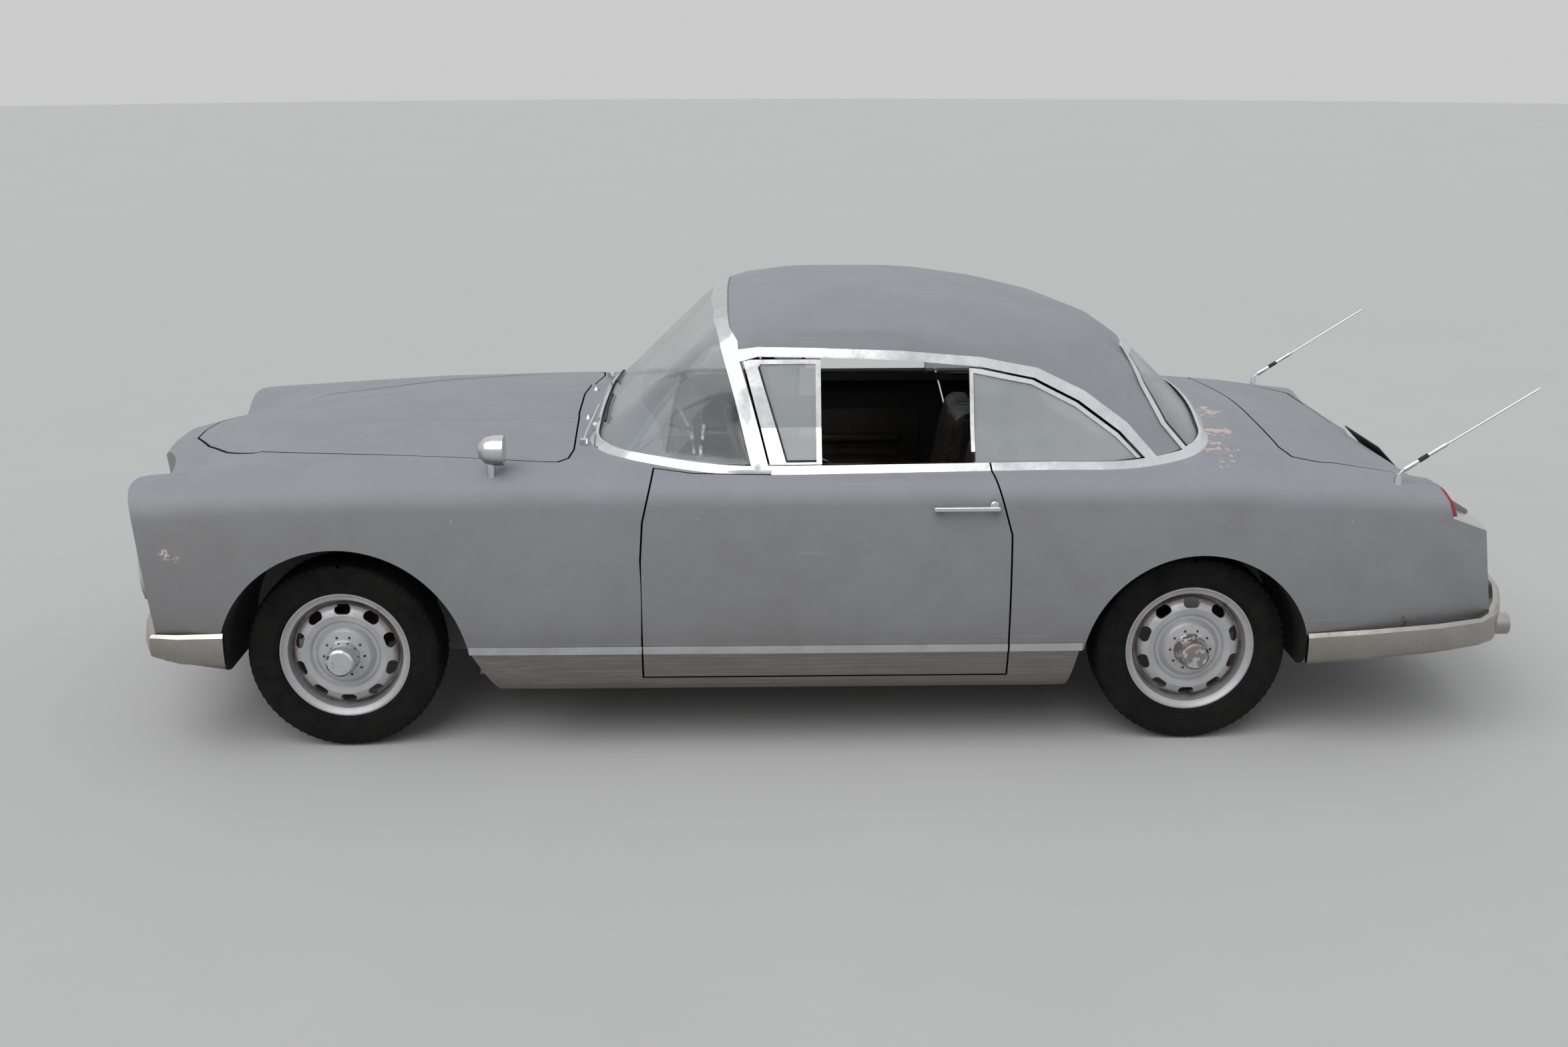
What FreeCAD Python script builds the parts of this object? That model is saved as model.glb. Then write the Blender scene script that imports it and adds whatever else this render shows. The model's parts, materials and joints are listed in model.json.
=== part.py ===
import FreeCAD, Part
import Sketcher
import math
import os

# Two-door hardtop coupe of the late 1950s, in millimetres.
# The nose points to -X, the car's left side to -Y, +Z is up and the tyres stand on z = 0.
# Lengths along the car are stations: the distance behind the front axle, negative ahead of it.

doc = FreeCAD.newDocument("HardtopCoupe")
sheet = doc.addObject("Spreadsheet::Sheet", "Sizes")

SIZES = {
    "wheelbase": 2660,
    "front_overhang": 790,
    "rear_overhang": 1120,
    "body_width": 1816,
    "belt_height": 885,
    "roof_height": 1383,
    "front_track": 1420,
    "rear_track": 1430,
    "tyre_radius": 305,
    "tyre_width": 172,
    "rim_radius": 203,
    "rim_width": 142,
    "hub_radius": 62,
    "hub_depth": 90,
    "cap_radius": 52,
    "cap_height": 69,
    "slot_inset": 56,
    "slot_width": 28,
    "slot_straight": 22,
    "front_arch_radius": 390,
    "rear_arch_radius": 356,
    "well_inner": 430,
    "door_front": 942,
    "door_rear": 2064,
    "door_rear_top": 2018,
    "door_bottom": 262,
    "door_wall": 60,
    "panel_skin": 22,
    "panel_gap": 6,
    "seat_gap": 0.3,
    "roof_skin": 30,
    "glass_inset": 7,
    "glass_thickness": 5,
    "moulding": 7,
    "moulding_width": 20,
    "lamp_half": 690,
    "lamp_high": 706,
    "lamp_low": 560,
    "lamp_radius": 92,
    "strip_low": 344,
    "strip_height": 26,
    "kingpin_half": 620,
    "kingpin_radius": 16,
    "steering_wheel_radius": 205,
    "steering_wheel_grip": 11,
    "blade_thick": 26,
    "antenna_radius": 3,
    "exhaust_radius": 24,
    "outlet_bore": 28,
    "rail_outer": 370,
    "rail_height": 60,
    "rail_width": 60,
    "running_gap": 0.4,
    "front_axle": "=(front_overhang - wheelbase - rear_overhang) / 2",
    "rear_axle": "=front_axle + wheelbase",
    "rim_half": "=rim_width / 2",
    "rim_back": "=-rim_width / 2",
    "hub_back": "=rim_half - hub_depth",
    "cap_face": "=rim_half + 9 + cap_height",
    "tyre_half": "=tyre_width / 2",
    "tyre_back": "=-tyre_width / 2",
    "stub_length": "=front_track / 2 + hub_back - running_gap - kingpin_half",
    "axle_half": "=rear_track / 2 + hub_back - running_gap",
    "beam_top": "=tyre_radius - 60",
}
for row, (name, value) in enumerate(SIZES.items(), start=1):
    sheet.set("A%d" % row, name)
    sheet.set("B%d" % row, str(value))
    sheet.setAlias("B%d" % row, name)
doc.recompute()


def size(name):
    return float(getattr(sheet, name))


# The tables of sections below are drawn at these sizes, and along, across and up fit them to the sheet.
DRAWN_FRONT, DRAWN_BASE, DRAWN_REAR = 790.0, 2660.0, 1120.0
DRAWN_WIDTH, DRAWN_BELT, DRAWN_ROOF = 1816.0, 885.0, 1383.0

front_axle = size("front_axle")
rear_axle = size("rear_axle")
gap = size("panel_gap")


def along(station):
    if station < 0:
        return front_axle + station * size("front_overhang") / DRAWN_FRONT
    if station < DRAWN_BASE:
        return front_axle + station * size("wheelbase") / DRAWN_BASE
    return rear_axle + (station - DRAWN_BASE) * size("rear_overhang") / DRAWN_REAR


def across(half):
    return half * size("body_width") / DRAWN_WIDTH


def up(height):
    if height < DRAWN_BELT:
        return height * size("belt_height") / DRAWN_BELT
    glass_house = (size("roof_height") - size("belt_height")) / (DRAWN_ROOF - DRAWN_BELT)
    return size("belt_height") + (height - DRAWN_BELT) * glass_house


def rounded(points, share):
    """A closed wire of lines and arcs: each corner's arc takes a share of its shorter side."""
    corners = []
    for index, point in enumerate(points):
        before, corner, after = points[index - 1], point, points[(index + 1) % len(points)]
        to_before = (before - corner).normalize()
        to_after = (after - corner).normalize()
        reach = share * min((before - corner).Length, (after - corner).Length)
        half = math.acos(max(-1.0, min(1.0, to_before.dot(to_after)))) / 2
        middle = to_before + to_after
        if middle.Length > 1e-4:
            middle = middle.normalize() * (reach / math.cos(half) - reach * math.tan(half))
        corners.append((corner + to_before * reach, corner + middle, corner + to_after * reach))
    edges = []
    for index, (start, top, end) in enumerate(corners):
        straight = (top - start).cross(end - start).Length < 1e-3
        bend = Part.LineSegment(start, end) if straight else Part.Arc(start, top, end)
        edges.append(bend.toShape())
        edges.append(Part.LineSegment(end, corners[(index + 1) % len(corners)][0]).toShape())
    return Part.Wire(edges)


def side_prism(outline, low=-1100, high=1100):
    """Extrude an outline of (station, height) pairs across the car."""
    points = [FreeCAD.Vector(along(x), low, up(z)) for x, z in outline]
    face = Part.Face(Part.makePolygon(points + points[:1]))
    return face.extrude(FreeCAD.Vector(0, high - low, 0))


def plan_prism(outline, low, high, grow=0):
    """Extrude an outline of (station, half width) pairs upwards, mirrored across the car."""
    half = [(along(x), across(y)) for x, y in outline]
    if grow:
        mid = sum(x for x, y in half) / len(half)
        half = [(x + math.copysign(grow, x - mid), y + grow * (y > 0)) for x, y in half]
    ring = [FreeCAD.Vector(x, -y, low) for x, y in half]
    ring += [FreeCAD.Vector(x, y, low) for x, y in reversed(half) if y > 0]
    face = Part.Face(Part.makePolygon(ring + ring[:1]))
    return face.extrude(FreeCAD.Vector(0, 0, high - low))


def box(x1, x2, y1, y2, z1, z2):
    return Part.makeBox(x2 - x1, y2 - y1, z2 - z1, FreeCAD.Vector(x1, y1, z1))


def both_sides(shape):
    return [shape, shape.mirror(FreeCAD.Vector(0, 0, 0), FreeCAD.Vector(0, 1, 0))]


def join(shapes):
    return shapes[0].multiFuse(shapes[1:]).removeSplitter() if len(shapes) > 1 else shapes[0]


def largest(shape):
    return max(shape.Solids, key=lambda solid: solid.Volume)


nodes = []


def add(label, shape):
    piece = doc.addObject("Part::Feature", label)
    piece.Shape = shape
    nodes.append(piece)


def primitive(kind, name, place, turn=None, **sizes):
    """A Part primitive whose place and sizes are formulas on the sheet."""
    piece = doc.addObject("Part::" + kind, name)
    if turn:
        piece.Placement = FreeCAD.Placement(FreeCAD.Vector(), FreeCAD.Rotation(FreeCAD.Vector(*turn), 90))
    for axis, formula in zip("xyz", place):
        piece.setExpression("Placement.Base." + axis, formula)
    for dimension, formula in sizes.items():
        piece.setExpression(dimension, formula)
    return piece


def block(name, x, y, z):
    """A Part::Box between two formulas on each axis."""
    return primitive("Box", name, (x[0], y[0], z[0]), Length="%s - (%s)" % (x[1], x[0]),
                     Width="%s - (%s)" % (y[1], y[0]), Height="%s - (%s)" % (z[1], z[0]))


def fused(label, pieces):
    whole = doc.addObject("Part::MultiFuse", label)
    whole.Shapes = pieces
    nodes.append(whole)


# Lower body: each row is a cross section, the control points of its right half.
# station, crown z, edge y z, valley y z, crest y z, shoulder y z, waist y z, rocker y z, floor y z
BODY_ROWS = [
    (-775, 560, 90, 552, 320, 520, 640, 560, 830, 560, 860, 520, 845, 420, 790, 300),
    (-741, 735, 105, 725, 335, 660, 640, 740, 830, 720, 862, 590, 845, 415, 790, 295),
    (-728, 803, 120, 792, 350, 710, 640, 800, 830, 780, 864, 596, 846, 412, 788, 292),
    (-690, 843, 160, 835, 390, 758, 640, 850, 830, 830, 866, 600, 847, 408, 786, 288),
    (-600, 858, 230, 852, 430, 776, 640, 868, 830, 845, 868, 600, 848, 405, 782, 280),
    (-500, 876, 262, 868, 455, 815, 662, 874, 838, 848, 874, 604, 856, 396, 792, 266),
    (-300, 905, 300, 896, 480, 880, 705, 884, 850, 850, 885, 610, 870, 380, 810, 240),
    (100, 938, 330, 925, 560, 905, 715, 908, 862, 862, 900, 610, 890, 365, 838, 195),
    (640, 962, 360, 942, 600, 920, 735, 915, 868, 868, 905, 610, 897, 355, 850, 190),
    (1400, 962, 360, 937, 600, 915, 745, 902, 870, 862, 908, 610, 899, 355, 852, 190),
    (2200, 970, 360, 940, 600, 915, 745, 902, 870, 862, 908, 610, 899, 355, 852, 190),
    (2750, 985, 330, 952, 560, 925, 735, 895, 864, 858, 902, 610, 892, 365, 845, 205),
    (3100, 915, 330, 907, 560, 895, 715, 872, 850, 838, 890, 600, 876, 395, 825, 265),
    (3421, 790, 330, 792, 540, 790, 705, 835, 830, 808, 870, 600, 852, 425, 800, 330),
    (3680, 566, 300, 576, 512, 592, 684, 730, 803, 712, 842, 588, 826, 446, 778, 384),
]
# How far each of those points moves for a skin laid outside the first: share across, share up.
BODY_PUSH = [(0, 1), (0, 1), (0, 1), (0.2, 1), (0.8, 0.8), (1, 0), (1, 0), (1, -1)]
# Raised middle of the hood: station, half width, height over the crown, crown, edge y z
BULGE = [(-490, 96, 0, 877, 262, 869), (-300, 135, 14, 905, 300, 896), (100, 185, 14, 938, 330, 925),
         (640, 250, 14, 962, 360, 942), (750, 266, 8, 962, 360, 942), (790, 270, 0, 962, 360, 942)]


def body_form(side=0, top=None):
    """The lower body's outer form, grown by so much at its sides and at its top."""
    top = side if top is None else top
    wires = []
    for row in BODY_ROWS:
        station = row[0]
        points = [(0, row[1])] + list(zip(row[2::2], row[3::2]))
        half = []
        for (y, z), (push_y, push_z) in zip(points, BODY_PUSH):
            grow_z = top if push_z > 0 else side
            half.append((across(y) + side * push_y, up(z) + grow_z * push_z))
        right = [FreeCAD.Vector(along(station), y, z) for y, z in half]
        left = [FreeCAD.Vector(along(station), -y, z) for y, z in reversed(half[1:])]
        wires.append(rounded(right + left, 0.49))
    return Part.makeLoft(wires, True, True)


# Plan of the body's ends, on the floor and 1100 up, because both ends are raked.
# station, half width
NOSE_PLAN = [(-740, 0), (-740, 55), (-726, 115), (-697, 175), (-655, 230), (-630, 290), (-618, 400),
             (-619, 520), (-622, 640), (-612, 790), (-585, 880), (-560, 925)]
TAIL_PLAN = [(3540, 925), (3600, 800), (3630, 620), (3645, 240), (3648, 0)]
NOSE_RAKE, TAIL_RAKE = (79, -31), (60, -100)


def end_form(grow=0):
    """What the raked plan of nose and tail leaves of the body."""
    wires = []
    for level, nose_shift, tail_shift in zip((0, 1100), NOSE_RAKE, TAIL_RAKE):
        half = [(along(x + nose_shift) - grow, across(y)) for x, y in NOSE_PLAN[1:]]
        half += [(along(x + tail_shift) + grow, across(y)) for x, y in TAIL_PLAN[:-1]]
        ring = [FreeCAD.Vector(x, -y, up(level)) for x, y in half]
        ring += [FreeCAD.Vector(x, y, up(level)) for x, y in reversed(half)]
        wires.append(rounded(ring, 0.42))
    return Part.makeLoft(wires, True, True)


# Glass house: each row is a slice, the control points of its right half from front to rear.
# height, front x y, front corner x y, A pillar x y, C pillar x y, rear corner x y, rear x y
CABIN_ROWS = [
    (880, 684, 200, 735, 650, 1100, 800, 2500, 772, 2760, 650, 2870, 200),
    (1010, 822, 190, 865, 612, 1140, 712, 2380, 705, 2630, 590, 2735, 190),
    (1130, 953, 180, 985, 588, 1165, 668, 2200, 662, 2500, 525, 2612, 180),
    (1240, 1074, 160, 1100, 562, 1215, 625, 2040, 618, 2340, 470, 2452, 160),
    (1300, 1140, 140, 1165, 520, 1280, 588, 1950, 580, 2200, 420, 2300, 140),
    (1340, 1209, 110, 1255, 440, 1375, 505, 1850, 495, 2050, 370, 2145, 120),
    (1370, 1310, 80, 1370, 325, 1470, 372, 1765, 365, 1890, 290, 1985, 90),
    (1383, 1480, 50, 1510, 150, 1550, 175, 1650, 172, 1720, 150, 1780, 50),
]
CABIN_PUSH = [(-1.3, 0), (-1.2, 0.5), (-0.2, 1.1), (0.1, 1.1), (1.2, 0.6), (1.4, 0)]
# Share of a skin that lifts a slice, from the belt to the roof.
CABIN_LIFT = [0, 0, 0, 0.3, 0.7, 0.9, 1, 1]


def cabin_form(grow=0):
    """The glass house's outer form, grown by so much."""
    wires = []
    for row, lift in zip(CABIN_ROWS, CABIN_LIFT):
        half = []
        flat = 1 - lift * 0.5
        for (x, y), (push_x, push_y) in zip(zip(row[1::2], row[2::2]), CABIN_PUSH):
            half.append((along(x) + grow * push_x * flat, across(y) + grow * push_y * flat))
        level = up(row[0]) + grow * lift
        ring = [FreeCAD.Vector(x, -y, level) for x, y in half]
        ring += [FreeCAD.Vector(x, y, level) for x, y in reversed(half)]
        wires.append(rounded(ring, 0.49))
    return Part.makeLoft(wires, True, True)


# Outlines seen from the side: station, height
WINDSHIELD = [(560, 895), (1281, 895), (1218, 1135), (1172, 1290), (1158, 1312), (560, 1312)]
WINDSHIELD_RIM = [(560, 862), (1334, 862), (1330, 905), (1274, 1105), (1240, 1215), (1238, 1262),
                  (1212, 1300), (1198, 1355), (560, 1355)]
SIDE_WINDOW = [(1334, 880), (1330, 900), (1246, 1211), (1300, 1219), (1503, 1215), (1745, 1206), (1989, 1186),
               (2157, 1150), (2296, 1081), (2421, 991), (2516, 893), (2526, 880)]
VENT = [(1342, 865), (1338, 900), (1256, 1203), (1264, 1209), (1476, 1209), (1494, 1208), (1494, 865)]
VENT_PANE = [(1384, 915), (1300, 1186), (1308, 1196), (1478, 1196), (1478, 915)]
QUARTER = [(1954, 865), (1954, 1181), (1989, 1178), (2152, 1143), (2289, 1074), (2414, 985), (2504, 893),
           (2516, 865)]
QUARTER_PANE = [(1966, 903), (1966, 1167), (2147, 1131), (2282, 1064), (2405, 976), (2480, 903)]
REAR_WINDOW = [(2700, 860), (2580, 1000), (2535, 1100), (2520, 1165), (2750, 1165), (2960, 940), (2960, 860)]
REAR_RIM = [(2680, 860), (2562, 1000), (2517, 1100), (2500, 1183), (2770, 1183), (2990, 940), (2990, 860)]
DRIP_RAIL = [(1240, 1205), (1240, 1240), (1300, 1247), (1503, 1243), (1745, 1234), (1989, 1214), (2170, 1177),
             (2316, 1107), (2446, 1014), (2552, 896), (2516, 893), (2421, 991), (2296, 1081), (2157, 1150),
             (1989, 1186), (1745, 1206), (1503, 1215), (1300, 1219)]

# Panels seen from above: station, half width
HOOD = [(-616, 0), (-606, 120), (-526, 255), (-440, 350), (-323, 440), (78, 585), (489, 690), (640, 722),
        (682, 722), (710, 690), (718, 600), (710, 420), (701, 220), (698, 0)]
BOOT_LID = [(2972, 0), (2966, 560), (2985, 640), (3060, 668), (3200, 660), (3370, 642), (3412, 560),
            (3600, 530), (3600, 0)]
DOOR_INNER = [(900, 748), (1000, 772), (1100, 797), (1338, 802), (1348, 735), (2200, 735)]
CABIN_HOLE = [(1010, 0), (1010, 640), (1340, 728), (2000, 728), (2070, 690), (2400, 680), (2480, 560),
              (2480, 0)]
DOOR_SHUT = [(0, 262), (0, 640), (8, 760), (36, 880), (48, 940)]
hinge_half = across(908)
hinge_station = along(size("door_front"))


def wells(grow=0):
    """The four wheel wells: drums open to the side, and the slanting ends of the sills."""
    drums = []
    arches = ((front_axle + 20, size("front_arch_radius")), (rear_axle - 6, size("rear_arch_radius")))
    for centre_x, radius in arches:
        for side in (-1, 1):
            start = FreeCAD.Vector(centre_x, side * (size("well_inner") - grow), up(290))
            drums.append(Part.makeCylinder(radius + grow, 700, start, FreeCAD.Vector(0, side, 0)))
    top = size("strip_low") + grow
    front = [(360, top), (412 + grow, top), (488 + grow, 208), (488 + grow, 150), (360, 150)]
    rear = [(2340, top), (2288 - grow, top), (2258 - grow, 208), (2258 - grow, 150), (2340, 150)]
    for outline in (front, rear):
        drums += both_sides(side_prism(outline, -1100, -across(660) + grow))
    return drums


def door_zone(grow=0):
    """The left door's outline, its rear edge an arc about the hinge so that it swings clear."""
    bottom = up(size("door_bottom")) - grow
    rear = along(size("door_rear")) - hinge_station + grow
    rear_top = along(size("door_rear_top")) - hinge_station + grow
    top = up(940)
    profile = [(0, bottom), (rear, bottom), (rear, up(715)), (rear_top, up(885)), (rear_top - 6, top)]
    profile.append((0, top))
    points = [FreeCAD.Vector(hinge_station + radius, -hinge_half, z) for radius, z in profile]
    sector = Part.Face(Part.makePolygon(points + points[:1]))
    start = FreeCAD.Vector(hinge_station, -hinge_half, 0)
    sector = sector.revolve(start, FreeCAD.Vector(0, 0, 1), 120).fuse(
        sector.revolve(start, FreeCAD.Vector(0, 0, 1), -60))
    shut = [(size("door_front") + x - grow, z - (grow if z < 300 else 0)) for x, z in DOOR_SHUT]
    shut += [(2300, 940), (2300, DOOR_SHUT[0][1] - grow)]
    inner = [FreeCAD.Vector(along(x), -across(y) + grow, 0) for x, y in DOOR_INNER]
    inner += [FreeCAD.Vector(along(2200), -1100, 0), FreeCAD.Vector(along(900), -1100, 0)]
    plan = Part.Face(Part.makePolygon(inner + inner[:1])).extrude(FreeCAD.Vector(0, 0, 1100))
    return sector.common(side_prism(shut)).common(plan)


def inside(form, x1, x2, z1, z2, half=1000):
    return form.common(box(along(x1), along(x2), -half, half, up(z1), up(z2)))


skin = size("panel_skin")
body_raw = body_form()
bulge_slices = []
for station, half, height, crown, edge_y, edge_z in BULGE:
    side_z = crown + (edge_z - crown) * half / edge_y
    corners = [(half - 12, side_z + height), (half + 10, side_z - 3), (half + 10, side_z - 30)]
    corners = [(0, crown + height)] + corners
    ring = [FreeCAD.Vector(along(station), across(y), up(z)) for y, z in corners]
    ring += [FreeCAD.Vector(along(station), -across(y), up(z)) for y, z in reversed(corners) if y]
    bulge_slices.append(Part.makePolygon(ring + ring[:1]))
FIN_NOTCH = [(3404, 1000), (3404, 830), (3422, 790), (3432, 742), (3562, 693), (3800, 605), (3800, 1000)]
fin_notch = side_prism(FIN_NOTCH)
notch_sides = both_sides(fin_notch.common(box(-3000, 3000, -1100, -across(575), 0, 1100)))
body_full = body_raw.common(end_form())
bulge = Part.makeLoft(bulge_slices, True, True)
body_outer = body_full.cut(notch_sides).fuse(bulge)
well_drums = wells()
well_walls = wells(12)
under_skin = body_form(-skin)
engine_bay = inside(under_skin, -565, 640, 215, 1100).cut(well_walls)
PIT = (-520, 600)
engine_pit = box(along(PIT[0]), along(PIT[1]), -380, 380, 0, up(330))
axle_pit = box(along(-230), along(230), -600, 600, 0, up(470))
door_lining = body_form(-size("door_wall"), -28)
cabin_room = inside(door_lining, 700, 2260, 190, 1100)
rear_room = inside(door_lining, 2259, 2650, 500, 1100).cut(well_walls)
boot_room = inside(under_skin, 2700, 3380, 335, 1100).cut(well_walls)
boot_room = boot_room.fuse(inside(under_skin, 3379, 3580, 335, 1100, across(560)))
boot_room = boot_room.cut(box(along(2600), along(2960), -1000, 1000, 0, up(500)))
rear_axle_pit = box(along(2440), along(2890), -600, 600, 0, up(475))
cabin_hole = plan_prism(CABIN_HOLE, up(800), up(1100))


def lamp_pod(radius, x1, x2):
    """A tall round-ended pod for the two lamps of the left fender."""
    centre_y = -size("lamp_half")
    low, high = up(size("lamp_low")), up(size("lamp_high"))
    drums = [Part.makeCylinder(radius, x2 - x1, FreeCAD.Vector(x1, centre_y, z), FreeCAD.Vector(1, 0, 0))
             for z in (low, high)]
    return join(drums + [box(x1, x2, centre_y - radius, centre_y + radius, low, high)])


def face_prism(outline, x1, x2, shrink=0):
    """Extrude an outline of (half width, height) corners rearwards, mirrored across the car."""
    half = [(y - shrink, z) for y, z in outline]
    centre_z = sum(z for y, z in half) / len(half)
    half = [(y, z - math.copysign(shrink, z - centre_z)) for y, z in half]
    ring = [FreeCAD.Vector(x1, across(y), up(z)) for y, z in half]
    ring += [FreeCAD.Vector(x1, -across(y), up(z)) for y, z in reversed(half)]
    return Part.Face(rounded(ring, 0.2)).extrude(FreeCAD.Vector(x2 - x1, 0, 0))


GRILLE = [(148, 745), (126, 452)]
SIDE_GRILLE_Y = (300, 520)
SIDE_GRILLE_Z = (560, 652)
nose = along(-706)
pod_front = along(-610)
pod_back = along(-575)
pocket_back = along(-660)
pods = both_sides(lamp_pod(size("lamp_radius"), pod_front - 200, pod_back))
grille_pocket = face_prism(GRILLE, nose - 100, pocket_back)
side_back = along(-575)
side_pockets = both_sides(box(nose - 100, side_back, -across(SIDE_GRILLE_Y[1]), -across(SIDE_GRILLE_Y[0]),
                              up(SIDE_GRILLE_Z[0]), up(SIDE_GRILLE_Z[1])))
rooms = pods + side_pockets + [grille_pocket, engine_bay, engine_pit, axle_pit]
rooms += [cabin_room, rear_room, boot_room, rear_axle_pit, cabin_hole]
# Pads under the floor take a jack
jack_x, jack_y, floor_under = along(1400), across(600), up(190)
jack_pad = box(jack_x - 40, jack_x + 40, -jack_y - 30, -jack_y + 30, floor_under - 12, floor_under + 8)
jack_pads = both_sides(jack_pad)
hood_zone = plan_prism(HOOD, up(700), up(1100))
lid_zone = plan_prism(BOOT_LID, up(560), up(1100))
openings = [plan_prism(HOOD, up(780), up(1100), gap), plan_prism(BOOT_LID, up(580), up(1100), gap)]
door_openings = both_sides(door_zone(gap))
body = body_outer.cut(well_drums).cut(rooms).cut(openings).cut(door_openings)
# A flange runs round both lids, just under them: its top rises a seat's gap into the skin that carries it
seat_gap = size("seat_gap")
rings = [plan_prism(outline, up(600), up(1100), gap + 12).cut(plan_prism(outline, up(600), up(1100), -20))
         for outline in (HOOD, BOOT_LID)]
flange = body_form(seat_gap - skin).cut(body_form(-skin - 10)).common(rings[0].fuse(rings[1]))
body = largest(body.fuse([flange.common(body_outer).cut(well_drums)] + jack_pads))
add("body_shell", body)

lid_shell = body_outer.cut(body_form(2 * seat_gap - skin))
add("hood", largest(lid_shell.common(hood_zone)))
add("boot_lid", largest(lid_shell.common(lid_zone)))
door_shell = body_outer.cut(door_lining)
door_left = largest(door_shell.common(door_zone()))
for side, shape in zip(("left", "right"), both_sides(door_left)):
    add("door_" + side, shape)

# Roof, pillars and glass
cabin_outer = cabin_form()
roof = cabin_outer.cut(cabin_form(-size("roof_skin")))
for outline in (SIDE_WINDOW, WINDSHIELD, REAR_WINDOW):
    roof = roof.cut(side_prism(outline))
roof = roof.cut(body_raw).cut(door_openings)
add("roof_and_pillars", largest(roof))
glass_sheet = cabin_form(-size("glass_inset")).cut(cabin_form(-size("glass_inset") - size("glass_thickness")))
add("windshield", largest(glass_sheet.common(side_prism(WINDSHIELD)).cut([body_raw, bulge])))
add("rear_window", largest(glass_sheet.common(side_prism(REAR_WINDOW)).cut(body_raw)))

# Bright mouldings, laid on the roof and along the foot of the glass house
chrome_sheet = cabin_form(size("moulding")).cut(cabin_outer)
rims = side_prism(WINDSHIELD_RIM).fuse(side_prism(REAR_RIM))
rims = rims.cut(side_prism(WINDSHIELD)).cut(side_prism(REAR_WINDOW)).fuse(side_prism(DRIP_RAIL))
foot_band = body_form(0, size("moulding_width"))
chrome_rims = chrome_sheet.common(rims.fuse(foot_band)).cut([body_raw, bulge])
frame_sheet = cabin_form(-2).cut(cabin_form(-16))
quarter_hole = side_prism(QUARTER_PANE)
quarter_frames = frame_sheet.common(side_prism(QUARTER).cut(quarter_hole)).cut(body_raw).cut(door_openings)
add("window_mouldings", Part.makeCompound(chrome_rims.cut(door_openings).Solids + quarter_frames.Solids))
add("quarter_glass", Part.makeCompound(glass_sheet.common(quarter_hole).Solids))

# Bright strip along the sills and the brushed panel under it, divided at the doors
strip_top = size("strip_low") + size("strip_height")
strips = inside(body_form(8), 408, 2296, size("strip_low"), strip_top).cut(body_raw)
sill_top = size("strip_low")
sill_shape = side_prism([(412, sill_top), (2288, sill_top), (2258, 208), (488, 208)])
sill_panels = body_form(3).common(sill_shape).cut(body_raw)
half_space = box(-3000, 3000, -1200, 0, 0, 1400)
add("sill_strips", Part.makeCompound(strips.cut(door_openings).Solids))
add("sill_panels", Part.makeCompound(sill_panels.cut(door_openings).Solids))

vent_hole = side_prism(VENT_PANE)
vent_frame = frame_sheet.common(side_prism(VENT).cut(vent_hole)).common(half_space).cut(body_raw)
left_door = door_zone()
belt = chrome_sheet.common(foot_band).common(left_door).cut(body_raw).cut(vent_frame)
door_strip = strips.common(left_door)
door_panel = sill_panels.common(left_door)

# Door handle: a bar on two feet
x1, x2, z = along(1826), along(2028), up(800)
door_side = body_outer.common(box(x1, x2, -1000, -700, z - 30, z + 30))
handle_y = door_side.BoundBox.YMin
grip_bar = box(x1, x2, handle_y - 26, handle_y - 14, z - 8, z + 8)
grip_bar = grip_bar.makeFillet(5, grip_bar.Edges)
handle_feet = [box(a, a + 22, handle_y - 20, handle_y + 20, z - 7, z + 7) for a in (x1 + 4, x2 - 26)]
handle = largest(grip_bar.fuse(handle_feet).cut(body_outer))
bright = [vent_frame, belt, door_strip, door_panel, handle]
vent_glass = glass_sheet.common(vent_hole).common(half_space)
for index, side in enumerate(("left", "right")):
    solids = [solid for shape in bright for solid in both_sides(shape)[index].Solids]
    add("door_brightwork_" + side, Part.makeCompound(solids))
    add("vent_glass_" + side, largest(both_sides(vent_glass)[index]))


def tube(points, radius, share=0.45):
    """A round bar along straight runs joined by tangent arcs."""
    edges = []
    start = points[0]
    for before, corner, after in zip(points, points[1:], points[2:]):
        to_before = (before - corner).normalize()
        to_after = (after - corner).normalize()
        reach = share * min((before - corner).Length, (after - corner).Length)
        half = math.acos(max(-1.0, min(1.0, to_before.dot(to_after)))) / 2
        middle = (to_before + to_after).normalize() * (reach / math.cos(half) - reach * math.tan(half))
        edges.append(Part.LineSegment(start, corner + to_before * reach).toShape())
        end = corner + to_after * reach
        edges.append(Part.Arc(corner + to_before * reach, corner + middle, end).toShape())
        start = end
    edges.append(Part.LineSegment(start, points[-1]).toShape())
    path = Part.Wire(edges)
    section = Part.Wire(Part.Circle(points[0], points[1] - points[0], radius).toShape())
    return path.makePipeShell([section], True, True)


def turned(profile, start, axis):
    """Turn a profile of (radius, distance along the axis) pairs about the axis."""
    aside = axis.cross(FreeCAD.Vector(0, 0, 1))
    aside = aside.normalize() if aside.Length > 0.1 else FreeCAD.Vector(1, 0, 0)
    points = [start + aside * radius + axis * reach for radius, reach in profile]
    face = Part.Face(Part.makePolygon(points + points[:1]))
    return face.revolve(start, axis, 360)


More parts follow.
